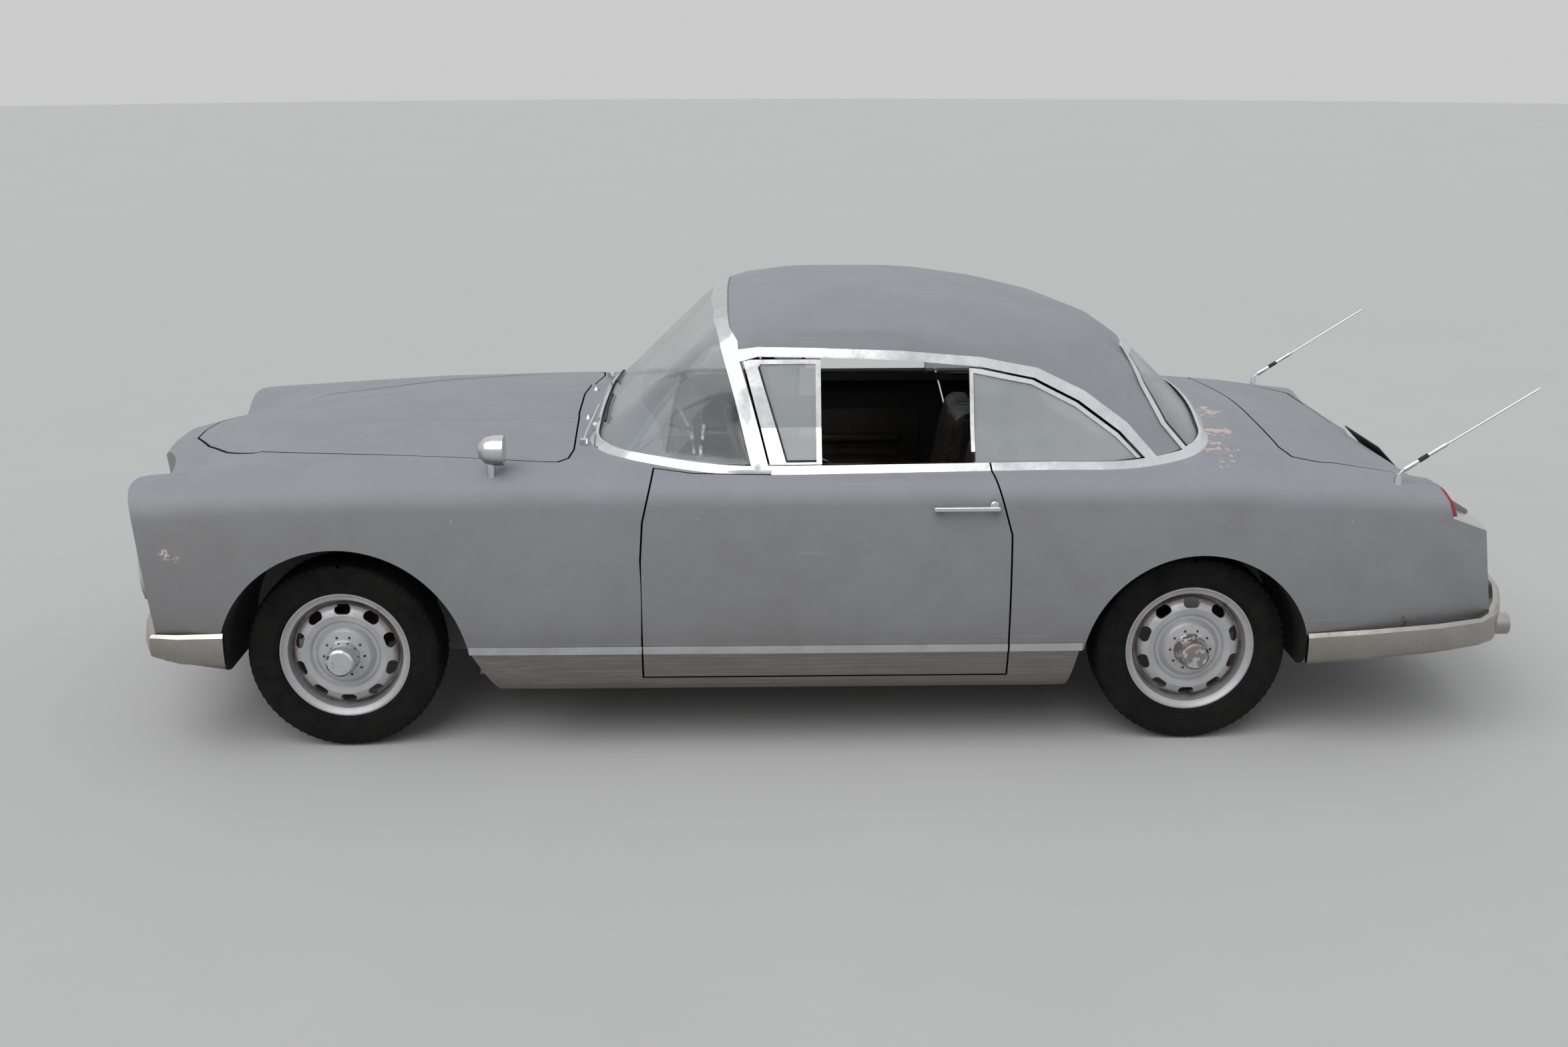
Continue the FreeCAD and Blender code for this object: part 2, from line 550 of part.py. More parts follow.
# Wheels: a pressed disc in a drop centre rim, ten oval slots and a tall bright cap.
# Each corner of a profile: size and offset of its radius, size and offset of its reach outwards.
WHEEL = [
    ("", 0, "hub_back", 0), ("hub_radius", 0, "hub_back", 0), ("hub_radius", 0, "rim_half", 1),
    ("cap_radius", 26, "rim_half", -2), ("cap_radius", 41, "rim_half", -22), ("cap_radius", 54, "rim_half", -22),
    ("cap_radius", 62, "rim_half", -14), ("cap_radius", 78, "rim_half", -10), ("rim_radius", -57, "rim_half", -16),
    ("rim_radius", -48, "rim_half", -27), ("rim_radius", -43, "rim_half", -53), ("rim_radius", -31, "rim_half", -57),
    ("rim_radius", -31, "rim_back", 25), ("rim_radius", -14, "rim_back", 6), ("rim_radius", 0, "rim_back", 0),
    ("rim_radius", 0, "rim_back", 4), ("rim_radius", -11, "rim_back", 14), ("rim_radius", -11, "rim_back", 23),
    ("rim_radius", -23, "rim_back", 35), ("rim_radius", -23, "rim_half", -35), ("rim_radius", -11, "rim_half", -23),
    ("rim_radius", -11, "rim_half", -14), ("rim_radius", 0, "rim_half", -4), ("rim_radius", 0, "rim_half", 0),
    ("rim_radius", -4, "rim_half", 0.5), ("rim_radius", -11, "rim_half", -7), ("rim_radius", -22, "rim_half", -11),
    ("rim_radius", -27, "rim_half", -31), ("rim_radius", -35, "rim_half", -49), ("rim_radius", -38, "rim_half", -49),
    ("rim_radius", -43, "rim_half", -23), ("rim_radius", -55, "rim_half", -11), ("cap_radius", 78, "rim_half", -5),
    ("cap_radius", 60, "rim_half", -9), ("cap_radius", 52, "rim_half", -17), ("cap_radius", 44, "rim_half", -17),
    ("cap_radius", 36, "rim_half", -5), ("cap_radius", 28, "rim_half", 3), ("cap_radius", 0, "rim_half", 9),
    ("cap_radius", -6, "cap_face", -20), ("cap_radius", -9, "cap_face", -7), ("cap_radius", -15, "cap_face", -1),
    ("", 0, "cap_face", 0)]
TYRE_SIDE = [("rim_radius", -10.7, "rim_half", -14.3), ("rim_radius", 1, "rim_half", -4.8),
             ("rim_radius", 3, "rim_half", 2), ("rim_radius", 14, "tyre_half", -3), ("rim_radius", 40, "tyre_half", 0),
             ("tyre_radius", -34, "tyre_half", -4), ("tyre_radius", -8, "tyre_half", -22),
             ("tyre_radius", 0, "tyre_half", -44)]
TYRE = TYRE_SIDE + [(radius, inset, reach.replace("half", "back"), -offset)
                    for radius, inset, reach, offset in reversed(TYRE_SIDE)]


def origin_of(body, role):
    return next(item for item in body.Origin.OriginFeatures if item.Role == role)


def sketch_on(body, name, role):
    sketch = body.newObject("Sketcher::SketchObject", name)
    sketch.AttachmentSupport = [(origin_of(body, role), "")]
    sketch.MapMode = "FlatFace"
    return sketch


def held(sketch, kind, *where, value, formula):
    """Add a constraint whose value is a formula on the sheet."""
    index = sketch.addConstraint(Sketcher.Constraint(kind, *where, value))
    sketch.setExpression("Constraints[%d]" % index, formula)


def turned_body(label, profile, side, axle, track):
    """A Body turned about the wheel's axis, which is its own Y axis."""
    body = doc.addObject("PartDesign::Body", label)
    outline = sketch_on(body, label + "_outline", "XY_Plane")
    corners = [FreeCAD.Vector(size(radius) + inset if radius else 0, size(reach) + offset)
               for radius, inset, reach, offset in profile]
    for start, end in zip(corners, corners[1:] + corners[:1]):
        outline.addGeometry(Part.LineSegment(start, end))
    for index, (radius, inset, reach, offset) in enumerate(profile):
        following = (index + 1) % len(profile)
        outline.addConstraint(Sketcher.Constraint("Coincident", index, 2, following, 1))
        held(outline, "DistanceY", -1, 1, index, 1, value=corners[index].y,
             formula="Sizes.%s + %g" % (reach, offset))
        if radius:
            held(outline, "DistanceX", -1, 1, index, 1, value=corners[index].x,
                 formula="Sizes.%s + %g" % (radius, inset))
        else:
            outline.addConstraint(Sketcher.Constraint("PointOnObject", index, 1, -2))
    solid = body.newObject("PartDesign::Revolution", label + "_turned")
    solid.Profile = (outline, [""])
    solid.ReferenceAxis = (outline, ["V_Axis"])
    solid.Angle = 360
    facing = FreeCAD.Rotation(FreeCAD.Vector(0, 0, 1), 90 - side * 90)
    body.Placement = FreeCAD.Placement(FreeCAD.Vector(), facing)
    body.setExpression("Placement.Base.x", axle)
    body.setExpression("Placement.Base.y", "%s * %d / 2" % (track, side))
    body.setExpression("Placement.Base.z", "Sizes.tyre_radius")
    nodes.append(body)
    return body


def cut_slots(body):
    """Ten oval slots through the wheel's disc."""
    slot = sketch_on(body, body.Name + "_slot", "XZ_Plane")
    ring, radius = size("rim_radius") - size("slot_inset"), size("slot_width") / 2
    straight = size("slot_straight")
    ends = [FreeCAD.Vector(x, ring) for x in (-straight / 2, straight / 2)]
    rise, flat, quarter = FreeCAD.Vector(0, radius), FreeCAD.Vector(0, 0, 1), math.pi / 2
    slot.addGeometry(Part.LineSegment(ends[0] + rise, ends[1] + rise))
    slot.addGeometry(Part.ArcOfCircle(Part.Circle(ends[1], flat, radius), -quarter, quarter))
    slot.addGeometry(Part.LineSegment(ends[1] - rise, ends[0] - rise))
    slot.addGeometry(Part.ArcOfCircle(Part.Circle(ends[0], flat, radius), quarter, 3 * quarter))
    for place in ((0, 2, 1, 2), (1, 1, 2, 1), (2, 2, 3, 2), (3, 1, 0, 1)):
        slot.addConstraint(Sketcher.Constraint("Tangent", *place))
    slot.addConstraint(Sketcher.Constraint("Horizontal", 0))
    slot.addConstraint(Sketcher.Constraint("Symmetric", 1, 3, 3, 3, -2))
    held(slot, "Radius", 1, value=radius, formula="Sizes.slot_width / 2")
    held(slot, "DistanceX", 3, 3, 1, 3, value=straight, formula="Sizes.slot_straight")
    held(slot, "DistanceY", -1, 1, 1, 3, value=ring, formula="Sizes.rim_radius - Sizes.slot_inset")
    pocket = body.newObject("PartDesign::Pocket", body.Name + "_pocket")
    pocket.Profile = (slot, [""])
    pocket.Type = "ThroughAll"
    pocket.Midplane = True
    ring = body.newObject("PartDesign::PolarPattern", body.Name + "_slots")
    ring.Originals = [pocket]
    ring.Axis = (origin_of(body, "Y_Axis"), [""])
    ring.Angle = 360
    ring.Occurrences = 10
    body.Tip = ring


for end in ("front", "rear"):
    for side, sign in (("left", -1), ("right", 1)):
        axle, track = "Sizes.%s_axle" % end, "Sizes.%s_track" % end
        wheel = turned_body("wheel_%s_%s" % (end, side), WHEEL, sign, axle, track)
        cut_slots(wheel)
        turned_body("tyre_%s_%s" % (end, side), TYRE, sign, axle, track)

# Running gear
run = size("running_gap")
for side, sign in (("left", -1), ("right", 1)):
    place = ["Sizes.front_axle", "Sizes.kingpin_half * %d" % sign, "Sizes.tyre_radius"]
    stub = primitive("Cylinder", "stub_" + side, place, turn=(-sign, 0, 0), Radius="Sizes.kingpin_radius",
                     Height="Sizes.stub_length")
    pin = primitive("Cylinder", "pin_" + side, place[:2] + ["Sizes.tyre_radius - 75"],
                    Radius="Sizes.kingpin_radius", Height="150")
    fused("knuckle_" + side, [stub, pin])

def span(sign, start, end):
    """Two formulas across the car, mirrored for the left side."""
    reach = ["Sizes." + start, "Sizes." + end]
    return reach if sign > 0 else ["-(%s)" % formula for formula in reversed(reach)]


frame = []
rail_span = (along(-520) - front_axle, along(600) - front_axle)
for side, sign in (("left", -1), ("right", 1)):
    for name, low, high in (("low", "Sizes.tyre_radius - 105", "Sizes.tyre_radius - 75 - Sizes.running_gap"),
                            ("high", "Sizes.tyre_radius + 75 + Sizes.running_gap", "Sizes.tyre_radius + 105")):
        frame.append(block("arm_%s_%s" % (name, side), ("Sizes.front_axle - 26", "Sizes.front_axle + 26"),
                           span(sign, "rail_outer", "kingpin_half + 22"), (low, high)))
    frame.append(block("tower_" + side, ("Sizes.front_axle - 50", "Sizes.front_axle + 50"),
                       span(sign, "rail_outer", "rail_outer + 38"),
                       ("Sizes.tyre_radius - 105", "Sizes.tyre_radius + 105")))
    frame.append(block("rail_" + side, ["Sizes.front_axle + %g" % reach for reach in rail_span],
                       span(sign, "rail_outer - Sizes.rail_width", "rail_outer"),
                       ("Sizes.beam_top", "Sizes.beam_top + Sizes.rail_height")))
frame.append(block("beam", ("Sizes.front_axle - 60", "Sizes.front_axle + 60"),
                   ("-Sizes.rail_outer", "Sizes.rail_outer"), ("Sizes.tyre_radius - 105", "Sizes.beam_top")))
fused("front_frame", frame)

tube_end = ["Sizes.rear_axle", "-Sizes.axle_half", "Sizes.tyre_radius"]
axle_tube = primitive("Cylinder", "axle_tube", tube_end, turn=(-1, 0, 0), Radius="38",
                      Height="Sizes.axle_half * 2")
middle = ["Sizes.rear_axle", "0", "Sizes.tyre_radius"]
differential = primitive("Sphere", "differential", middle, Radius="118")
spring_span = ["Sizes.rear_axle + %g" % (along(x) - rear_axle) for x in (2440, 2890)]
springs = [block("spring_" + side, spring_span, reach, ("Sizes.tyre_radius - 52", "Sizes.tyre_radius - 34"))
           for side, reach in (("left", ("-420", "-370")), ("right", ("370", "420")))]
fused("rear_axle", [axle_tube, differential] + springs)

cylinders = block("cylinders", ("Sizes.front_axle - 150", "Sizes.front_axle + 560"), ("-250", "250"),
                  ("Sizes.beam_top", "Sizes.belt_height - 125"))
sump = block("sump", ("Sizes.front_axle + 80", "Sizes.front_axle + 480"), ("-160", "160"),
             ("Sizes.beam_top - 80", "Sizes.beam_top"))
fused("engine", [cylinders, sump])

pipe_drop = "%g - Sizes.exhaust_radius - 0.3" % floor_under
pipes = [primitive("Cylinder", "pipe_" + side, ("Sizes.front_axle + 660", y, pipe_drop), turn=(0, 1, 0),
                   Radius="Sizes.exhaust_radius", Height="Sizes.wheelbase - 1130")
         for side, y in (("left", "-230"), ("right", "230"))]
exhaust = doc.addObject("Part::Compound", "exhaust_pipes")
exhaust.Links = pipes
nodes.append(exhaust)


# Bumpers: a rounded blade, one upright section at each point of its path
def blade(path, thick):
    """path: (station, half width, low, high) from one end of the blade to the middle of the car."""
    outer = [FreeCAD.Vector(along(x), -across(y), 0) for x, y, low, high in path]
    outer += [FreeCAD.Vector(along(x), across(y), 0) for x, y, low, high in reversed(path)]
    heights = [row[2:] for row in path + path[::-1]]
    slices = []
    for index, (point, (low, high)) in enumerate(zip(outer, heights)):
        direction = (outer[min(index + 1, len(outer) - 1)] - outer[max(index - 1, 0)]).normalize()
        inward = FreeCAD.Vector(direction.y, -direction.x, 0)
        if (point + inward).Length > (point - inward).Length:
            inward = inward * -1
        ring = []
        for depth, share in ((0.45, 1), (0.1, 0.88), (0, 0.5), (0.1, 0.12), (0.45, 0), (1, 0), (1, 1)):
            level = up(low) + (up(high) - up(low)) * share
            ring.append(point + inward * depth * thick + FreeCAD.Vector(0, 0, level))
        slices.append(Part.makePolygon(ring + ring[:1]))
    return Part.makeLoft(slices, True, True)


FRONT_BLADE = [(-342, 886, 307, 414), (-480, 890, 318, 412), (-570, 872, 335, 409), (-600, 812, 338, 408),
               (-632, 715, 338, 408), (-668, 560, 338, 408), (-712, 350, 338, 408), (-738, 150, 338, 408),
               (-742, 60, 338, 408)]
REAR_BLADE = [(2999, 898, 290, 388), (3200, 903, 305, 402), (3400, 902, 325, 418), (3540, 885, 341, 430),
              (3598, 850, 343, 445), (3640, 780, 338, 450), (3680, 690, 330, 450), (3715, 600, 325, 450),
              (3752, 400, 320, 450), (3772, 200, 320, 450), (3780, 80, 320, 450)]
blade_thick = size("blade_thick")
bumper_x = front_axle - size("front_overhang")
overriders = []
irons = []
outlets = []
outlet_bores = []
outlet_bore = size("outlet_bore")
for sign in (-1, 1):
    start, end = sorted((sign * 235, sign * 285))
    overriders.append(box(bumper_x, along(-705), start, end, up(330), up(470)))
    start, end = sorted((sign * 380, sign * 440))
    irons.append(box(along(-690), along(-540), start, end, up(355), up(395)))
    irons.append(box(along(3600), along(3735), start, end, up(350), up(400)))
    mouth = FreeCAD.Vector(along(3658), sign * across(790), up(383))
    back = FreeCAD.Vector(along(3560) - along(3658), 0, 0)
    outlets.append(Part.makeCylinder(outlet_bore + 6, back.Length, mouth + back, FreeCAD.Vector(1, 0, 0)))
    bore_end = mouth - FreeCAD.Vector(50, 0, 0)
    outlet_bores.append(Part.makeCylinder(outlet_bore, 200, bore_end, FreeCAD.Vector(1, 0, 0)))
front_bumper = join([blade(FRONT_BLADE, blade_thick)] + overriders + irons[::2])
add("front_bumper", largest(front_bumper.cut(body_outer)))
rear_bumper = join([blade(REAR_BLADE, blade_thick)] + outlets + irons[1::2]).cut(outlet_bores)
add("rear_bumper", largest(rear_bumper.cut(body_outer)))


# Inside the cabin
def across_block(outline, y1, y2):
    return side_prism(outline, min(y1, y2), max(y1, y2))


FRONT_SEAT = [(1480, 200), (1480, 430), (1560, 470), (1930, 440), (2040, 880), (2110, 900), (2150, 860),
              (2050, 420), (2020, 200)]
REAR_SEAT = [(2265, 500), (2265, 560), (2440, 545), (2530, 850), (2640, 850), (2640, 500)]
seats = []
for sign in (-1, 1):
    seats.append(across_block(FRONT_SEAT, sign * 110, sign * 620).cut(body))
add("front_seats", Part.makeCompound(seats))
add("rear_seat", across_block(REAR_SEAT, -400, 400).common(rear_room))
DASH = [(940, 960), (940, 720), (1000, 700), (1075, 725), (1115, 800), (1105, 848), (1009, 872), (1009, 960)]
dash = across_block(DASH, -across(700), across(700)).common(cabin_room)
column_foot = FreeCAD.Vector(along(700), -370, up(575))
wheel_centre = FreeCAD.Vector(along(1275), -370, up(805))
column_axis = (wheel_centre - column_foot).normalize()
column = Part.makeCylinder(22, (wheel_centre - column_foot).Length - 60 - run, column_foot, column_axis)
add("dashboard", largest(join([dash, column.common(cabin_room)])))
upright = FreeCAD.Vector(0, 0, 1)
facing = FreeCAD.Rotation(upright, column_axis)
rim_ring = primitive("Torus", "steering_rim", (), Radius1="Sizes.steering_wheel_radius",
                     Radius2="Sizes.steering_wheel_grip")
rim_ring.Placement = FreeCAD.Placement(wheel_centre, facing)
hub = primitive("Cylinder", "steering_hub", (), Radius="30", Height="50")
hub.Placement = FreeCAD.Placement(wheel_centre - column_axis * 60, facing)
spokes = []
for side, sign in (("left", -1), ("right", 1)):
    start = wheel_centre - column_axis * 30
    reach = wheel_centre + FreeCAD.Vector(0, sign * size("steering_wheel_radius"), 0) - start
    spoke = primitive("Cylinder", "spoke_" + side, (), Radius="8", Height="%g" % reach.Length)
    spoke.Placement = FreeCAD.Placement(start, FreeCAD.Rotation(upright, reach))
    spokes.append(spoke)
fused("steering_wheel", [rim_ring, hub] + spokes)

# Nose: a tall barred grille between two low ones, and stacked lamps in the fenders
grille_frame = face_prism(GRILLE, nose, pocket_back).cut(face_prism(GRILLE, nose, pocket_back, 13))
bars = []
grille_half = across(GRILLE[0][0])
low, high = up(GRILLE[1][1]), up(GRILLE[0][1])
for index in range(1, 12):
    y = grille_half * (index / 6 - 1)
    bars.append(box(nose + 14, nose + 20, y - 2.5, y + 2.5, low, high))
for index in range(1, 10):
    z = low + (high - low) * index / 10
    bars.append(box(nose + 16, nose + 22, -grille_half, grille_half, z - 2, z + 2))
mesh = join(bars).common(face_prism(GRILLE, nose, pocket_back, 8))
side_grilles = []
side_front = along(-612)
for shape in side_pockets:
    bound = shape.BoundBox
    y1, y2, z1, z2 = bound.YMin, bound.YMax, bound.ZMin, bound.ZMax
    surround = box(side_front, side_back, y1, y2, z1, z2)
    rods = [surround.cut(box(side_front, side_back, y1 + 9, y2 - 9, z1 + 9, z2 - 9))]
    for index in range(1, 8):
        y = y1 + (y2 - y1) * index / 8
        rods.append(box(side_front + 14, side_front + 20, y - 2, y + 2, z1 + 5, z2 - 5))
    for index in range(1, 4):
        z = z1 + (z2 - z1) * index / 4
        rods.append(box(side_front + 16, side_front + 22, y1 + 5, y2 - 5, z - 2, z + 2))
    side_grilles.append(join(rods))
add("grille", Part.makeCompound([join([grille_frame, mesh])] + side_grilles))

# Stacked lamps, their bright surrounds, and the bright ledge under each tail lamp
bezel = lamp_pod(size("lamp_radius"), pod_front, pod_back)
lamp_depth = pod_back - pod_front
lenses = []
for height, rim in ((size("lamp_high"), 14), (size("lamp_low"), 22)):
    radius = size("lamp_radius") - rim
    centre = FreeCAD.Vector(pod_front, -size("lamp_half"), up(height))
    bezel = bezel.cut(Part.makeCylinder(radius, lamp_depth, centre, FreeCAD.Vector(1, 0, 0)))
    profile = [(0, -6), (radius * 0.5, -2), (radius * 0.85, 8), (radius, 18), (radius, lamp_depth)]
    profile.append((0, lamp_depth))
    lenses.append(turned(profile, centre, FreeCAD.Vector(1, 0, 0)))
LEDGE = [(3432, 742), (3562, 693), (3640, 664), (3640, 667), (3562, 696), (3432, 745)]
ledge = side_prism(LEDGE, -across(860), -across(590)).common(body_full).cut(body_outer)
add("lamp_bezels", Part.makeCompound(both_sides(bezel) + both_sides(largest(ledge))))
add("headlamps", Part.makeCompound([lens for shape in lenses for lens in both_sides(shape)]))
LENS = [(3405, 822), (3417, 822), (3434, 788), (3444, 748), (3433, 748), (3422, 790)]
tail_lens = side_prism(LENS, -across(838), -across(712)).common(notch_sides[0]).common(body_full)
add("tail_lamps", Part.makeCompound(both_sides(largest(tail_lens))))


def top_of(shape, x, y):
    """Height of the shape's upper surface over a point."""
    line = Part.makeLine(FreeCAD.Vector(x, y, up(400)), FreeCAD.Vector(x, y, up(1700)))
    return shape.common(line).BoundBox.ZMax


# Small outside fittings
antennas = []
x, y = along(3275), -across(770)
foot = top_of(body_outer, x, y) - 4
mast_tip = FreeCAD.Vector(x + 408, y, foot + 300)
mast = tube([FreeCAD.Vector(x, y, foot), FreeCAD.Vector(x, y, foot + 36), mast_tip], size("antenna_radius"))
collar = Part.makeCone(14, 8, 34, FreeCAD.Vector(x, y, foot))
for shape in both_sides(mast.fuse(collar).cut(body_outer)):
    antennas.append(largest(shape))
add("antennas", Part.makeCompound(antennas))

x, y = along(490), -across(800)
foot = top_of(body_outer, x, y)
stem = Part.makeCylinder(13, 62, FreeCAD.Vector(x, y, foot - 10))
shell = turned([(0, -40), (22, -34), (40, -16), (46, 10), (46, 42), (40, 42), (0, 42)],
               FreeCAD.Vector(x, y, foot + 78), FreeCAD.Vector(1, 0, 0))
add("fender_mirror", largest(shell.fuse(stem).cut(body_outer)))

wipers = []
for sign in (-1, 1):
    x, y = along(748), sign * across(555)
    foot = top_of(body_outer, x, y)
    base = Part.makeCylinder(13, 24, FreeCAD.Vector(x, y, foot - 4))
    path = [FreeCAD.Vector(x, y, foot + 14), FreeCAD.Vector(x + 4, y - sign * 70, foot + 30),
            FreeCAD.Vector(along(774), sign * across(270), up(990))]
    wipers.append(largest(base.fuse(tube(path, 4)).cut(body_outer).cut(cabin_outer)))
add("wipers", Part.makeCompound(wipers))

plate_low = FreeCAD.Vector(along(3562), 0, up(665) + 10)
plate_high = FreeCAD.Vector(along(3437), 0, up(794) + 10)
slope = (plate_high - plate_low).normalize()
off = FreeCAD.Vector(-slope.z, 0, slope.x) * -1
corners = [plate_low, plate_high, plate_high + off * 4, plate_low + off * 4]
corners = [point - FreeCAD.Vector(0, 165, 0) for point in corners]
plate = Part.Face(Part.makePolygon(corners + corners[:1])).extrude(FreeCAD.Vector(0, 330, 0))
posts = []
for y in (-110, 110):
    middle = (plate_low + plate_high) * 0.5 + FreeCAD.Vector(0, y, 0)
    posts.append(Part.makeCylinder(9, 120, middle + off * 2, off * -1))
lid_top = body_outer.common(lid_zone)
add("plate_carrier", largest(plate.fuse(posts).cut(lid_top)))

os.makedirs("parts", exist_ok=True)
doc.recompute()
for piece in doc.Objects:
    if "Invalid" in piece.State or "Error" in piece.State:
        raise RuntimeError(piece.Name + " failed")
for piece in nodes:
    if piece.Shape.isNull() or not piece.Shape.isValid():
        raise RuntimeError(piece.Name + " has no valid shape")
    piece.Label = piece.Name
    piece.Shape.exportStep("parts/" + piece.Label + ".step")
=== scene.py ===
import bmesh
import bpy
import json
import math
import random
from mathutils import Matrix, Quaternion, Vector
from mathutils.bvhtree import BVHTree

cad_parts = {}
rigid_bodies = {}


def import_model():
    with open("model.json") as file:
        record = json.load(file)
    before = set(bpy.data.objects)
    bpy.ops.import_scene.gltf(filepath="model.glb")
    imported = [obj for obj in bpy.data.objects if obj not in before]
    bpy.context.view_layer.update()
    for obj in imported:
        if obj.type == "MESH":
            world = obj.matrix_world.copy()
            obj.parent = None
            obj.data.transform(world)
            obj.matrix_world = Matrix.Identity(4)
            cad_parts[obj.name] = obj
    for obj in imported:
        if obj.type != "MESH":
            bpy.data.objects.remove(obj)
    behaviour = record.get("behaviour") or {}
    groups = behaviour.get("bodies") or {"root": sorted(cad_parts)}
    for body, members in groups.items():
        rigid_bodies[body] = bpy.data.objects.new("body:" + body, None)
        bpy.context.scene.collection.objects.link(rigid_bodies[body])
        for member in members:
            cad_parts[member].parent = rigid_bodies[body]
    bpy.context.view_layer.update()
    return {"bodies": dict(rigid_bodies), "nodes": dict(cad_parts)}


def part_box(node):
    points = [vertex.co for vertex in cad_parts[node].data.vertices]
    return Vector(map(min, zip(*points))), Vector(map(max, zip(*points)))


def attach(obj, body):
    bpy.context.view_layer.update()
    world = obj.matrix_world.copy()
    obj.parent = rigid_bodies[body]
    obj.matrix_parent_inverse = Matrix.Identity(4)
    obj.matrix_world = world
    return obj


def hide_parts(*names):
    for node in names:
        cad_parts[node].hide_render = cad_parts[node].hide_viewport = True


# Weathered grey hardtop coupe: its looks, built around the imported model.
# The nose points to -X, the left side to -Y, and the ground is z = 0, in metres.

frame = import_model()
nodes = frame["nodes"]
random.seed(7)
print("frame loaded:", len(nodes), "nodes")


# Shader building

def put(tree, kind, inputs=None, **settings):
    node = tree.nodes.new("ShaderNode" + kind)
    for key, value in settings.items():
        setattr(node, key, value)
    for socket, value in (inputs or {}).items():
        if isinstance(value, bpy.types.NodeSocket):
            tree.links.new(value, node.inputs[socket])
        else:
            node.inputs[socket].default_value = value
    return node


def objectPlace(tree):
    return put(tree, "TexCoord").outputs["Object"]


def noise(tree, place, scale, detail=4.0, rough=0.55, twist=0.0):
    return put(tree, "TexNoise", {"Vector": place, "Scale": scale, "Detail": detail, "Roughness": rough,
                                  "Distortion": twist}).outputs["Fac"]


def span(tree, value, low, high, start=0.0, end=1.0):
    return put(tree, "MapRange", {"Value": value, "From Min": low, "From Max": high, "To Min": start,
                                  "To Max": end}, interpolation_type="SMOOTHSTEP").outputs["Result"]


def maths(tree, operation, first, second=0.0):
    return put(tree, "Math", {0: first, 1: second}, operation=operation).outputs[0]


def blendColor(tree, mask, under, over, mode="MIX"):
    node = put(tree, "Mix", {0: mask}, data_type="RGBA", blend_type=mode)
    for index, value in ((6, under), (7, over)):
        if isinstance(value, bpy.types.NodeSocket):
            tree.links.new(value, node.inputs[index])
        else:
            node.inputs[index].default_value = (*value, 1)
    return node.outputs[2]


def blendValue(tree, mask, under, over):
    return put(tree, "Mix", {0: mask, 2: under, 3: over}, data_type="FLOAT").outputs[0]


def newGroup(name, inputs, outputs):
    tree = bpy.data.node_groups.new(name, "ShaderNodeTree")
    for title, value in inputs.items():
        kind = "NodeSocketVector" if isinstance(value, tuple) else "NodeSocketFloat"
        socket = tree.interface.new_socket(title, in_out="INPUT", socket_type=kind)
        socket.default_value = value
    for title in outputs:
        tree.interface.new_socket(title, in_out="OUTPUT", socket_type="NodeSocketFloat")
    start = tree.nodes.new("NodeGroupInput")
    end = tree.nodes.new("NodeGroupOutput")
    return tree, start.outputs, end.inputs


def effect(tree, group, output="Mask", **values):
    node = tree.nodes.new("ShaderNodeGroup")
    node.node_tree = group
    for title, value in values.items():
        if isinstance(value, bpy.types.NodeSocket):
            tree.links.new(value, node.inputs[title])
        else:
            node.inputs[title].default_value = value
    return node.outputs[output]


# Shared effects

def makeClouds():
    tree, given, made = newGroup("clouds", {"Scale": 2.0, "Contrast": 0.5}, ["Mask"])
    place = objectPlace(tree)
    wide = noise(tree, place, given["Scale"], 3, 0.6, 0.4)
    close = noise(tree, place, maths(tree, "MULTIPLY", given["Scale"], 5.3), 5, 0.6)
    both = maths(tree, "ADD", maths(tree, "MULTIPLY", wide, 0.65), maths(tree, "MULTIPLY", close, 0.35))
    low = maths(tree, "SUBTRACT", 0.5, maths(tree, "MULTIPLY", given["Contrast"], 0.3))
    high = maths(tree, "ADD", 0.5, maths(tree, "MULTIPLY", given["Contrast"], 0.3))
    tree.links.new(span(tree, both, low, high), made["Mask"])
    return tree


def makeSpeckles():
    tree, given, made = newGroup("speckles", {"Scale": 200.0, "Amount": 0.3}, ["Mask"])
    grains = noise(tree, objectPlace(tree), given["Scale"], 2, 0.5)
    edge = maths(tree, "SUBTRACT", 0.78, maths(tree, "MULTIPLY", given["Amount"], 0.3))
    tree.links.new(span(tree, grains, edge, maths(tree, "ADD", edge, 0.05)), made["Mask"])
    return tree


def makeScratches():
    inputs = {"Stretch": (1.0, 40.0, 40.0), "Scale": 3.0, "Amount": 0.2}
    tree, given, made = newGroup("scratches", inputs, ["Mask"])
    drawn = put(tree, "VectorMath", {0: objectPlace(tree), 1: given["Stretch"]}, operation="MULTIPLY")
    lines = noise(tree, drawn.outputs[0], given["Scale"], 2, 0.6, 0.3)
    edge = maths(tree, "SUBTRACT", 0.74, maths(tree, "MULTIPLY", given["Amount"], 0.2))
    tree.links.new(span(tree, lines, edge, maths(tree, "ADD", edge, 0.03)), made["Mask"])
    return tree


def makeLowDirt():
    tree, given, made = newGroup("lowDirt", {"Top": 0.4, "Depth": 0.2, "Scale": 9.0}, ["Mask"])
    place = objectPlace(tree)
    height = put(tree, "SeparateXYZ", {0: place}).outputs[2]
    grain = maths(tree, "SUBTRACT", noise(tree, place, given["Scale"], 5, 0.6), 0.5)
    ragged = maths(tree, "MULTIPLY", grain, 0.5)
    level = maths(tree, "ADD", height, maths(tree, "MULTIPLY", ragged, given["Depth"]))
    bottom = maths(tree, "SUBTRACT", given["Top"], given["Depth"])
    mask = maths(tree, "SUBTRACT", 1.0, span(tree, level, bottom, given["Top"]))
    tree.links.new(mask, made["Mask"])
    return tree


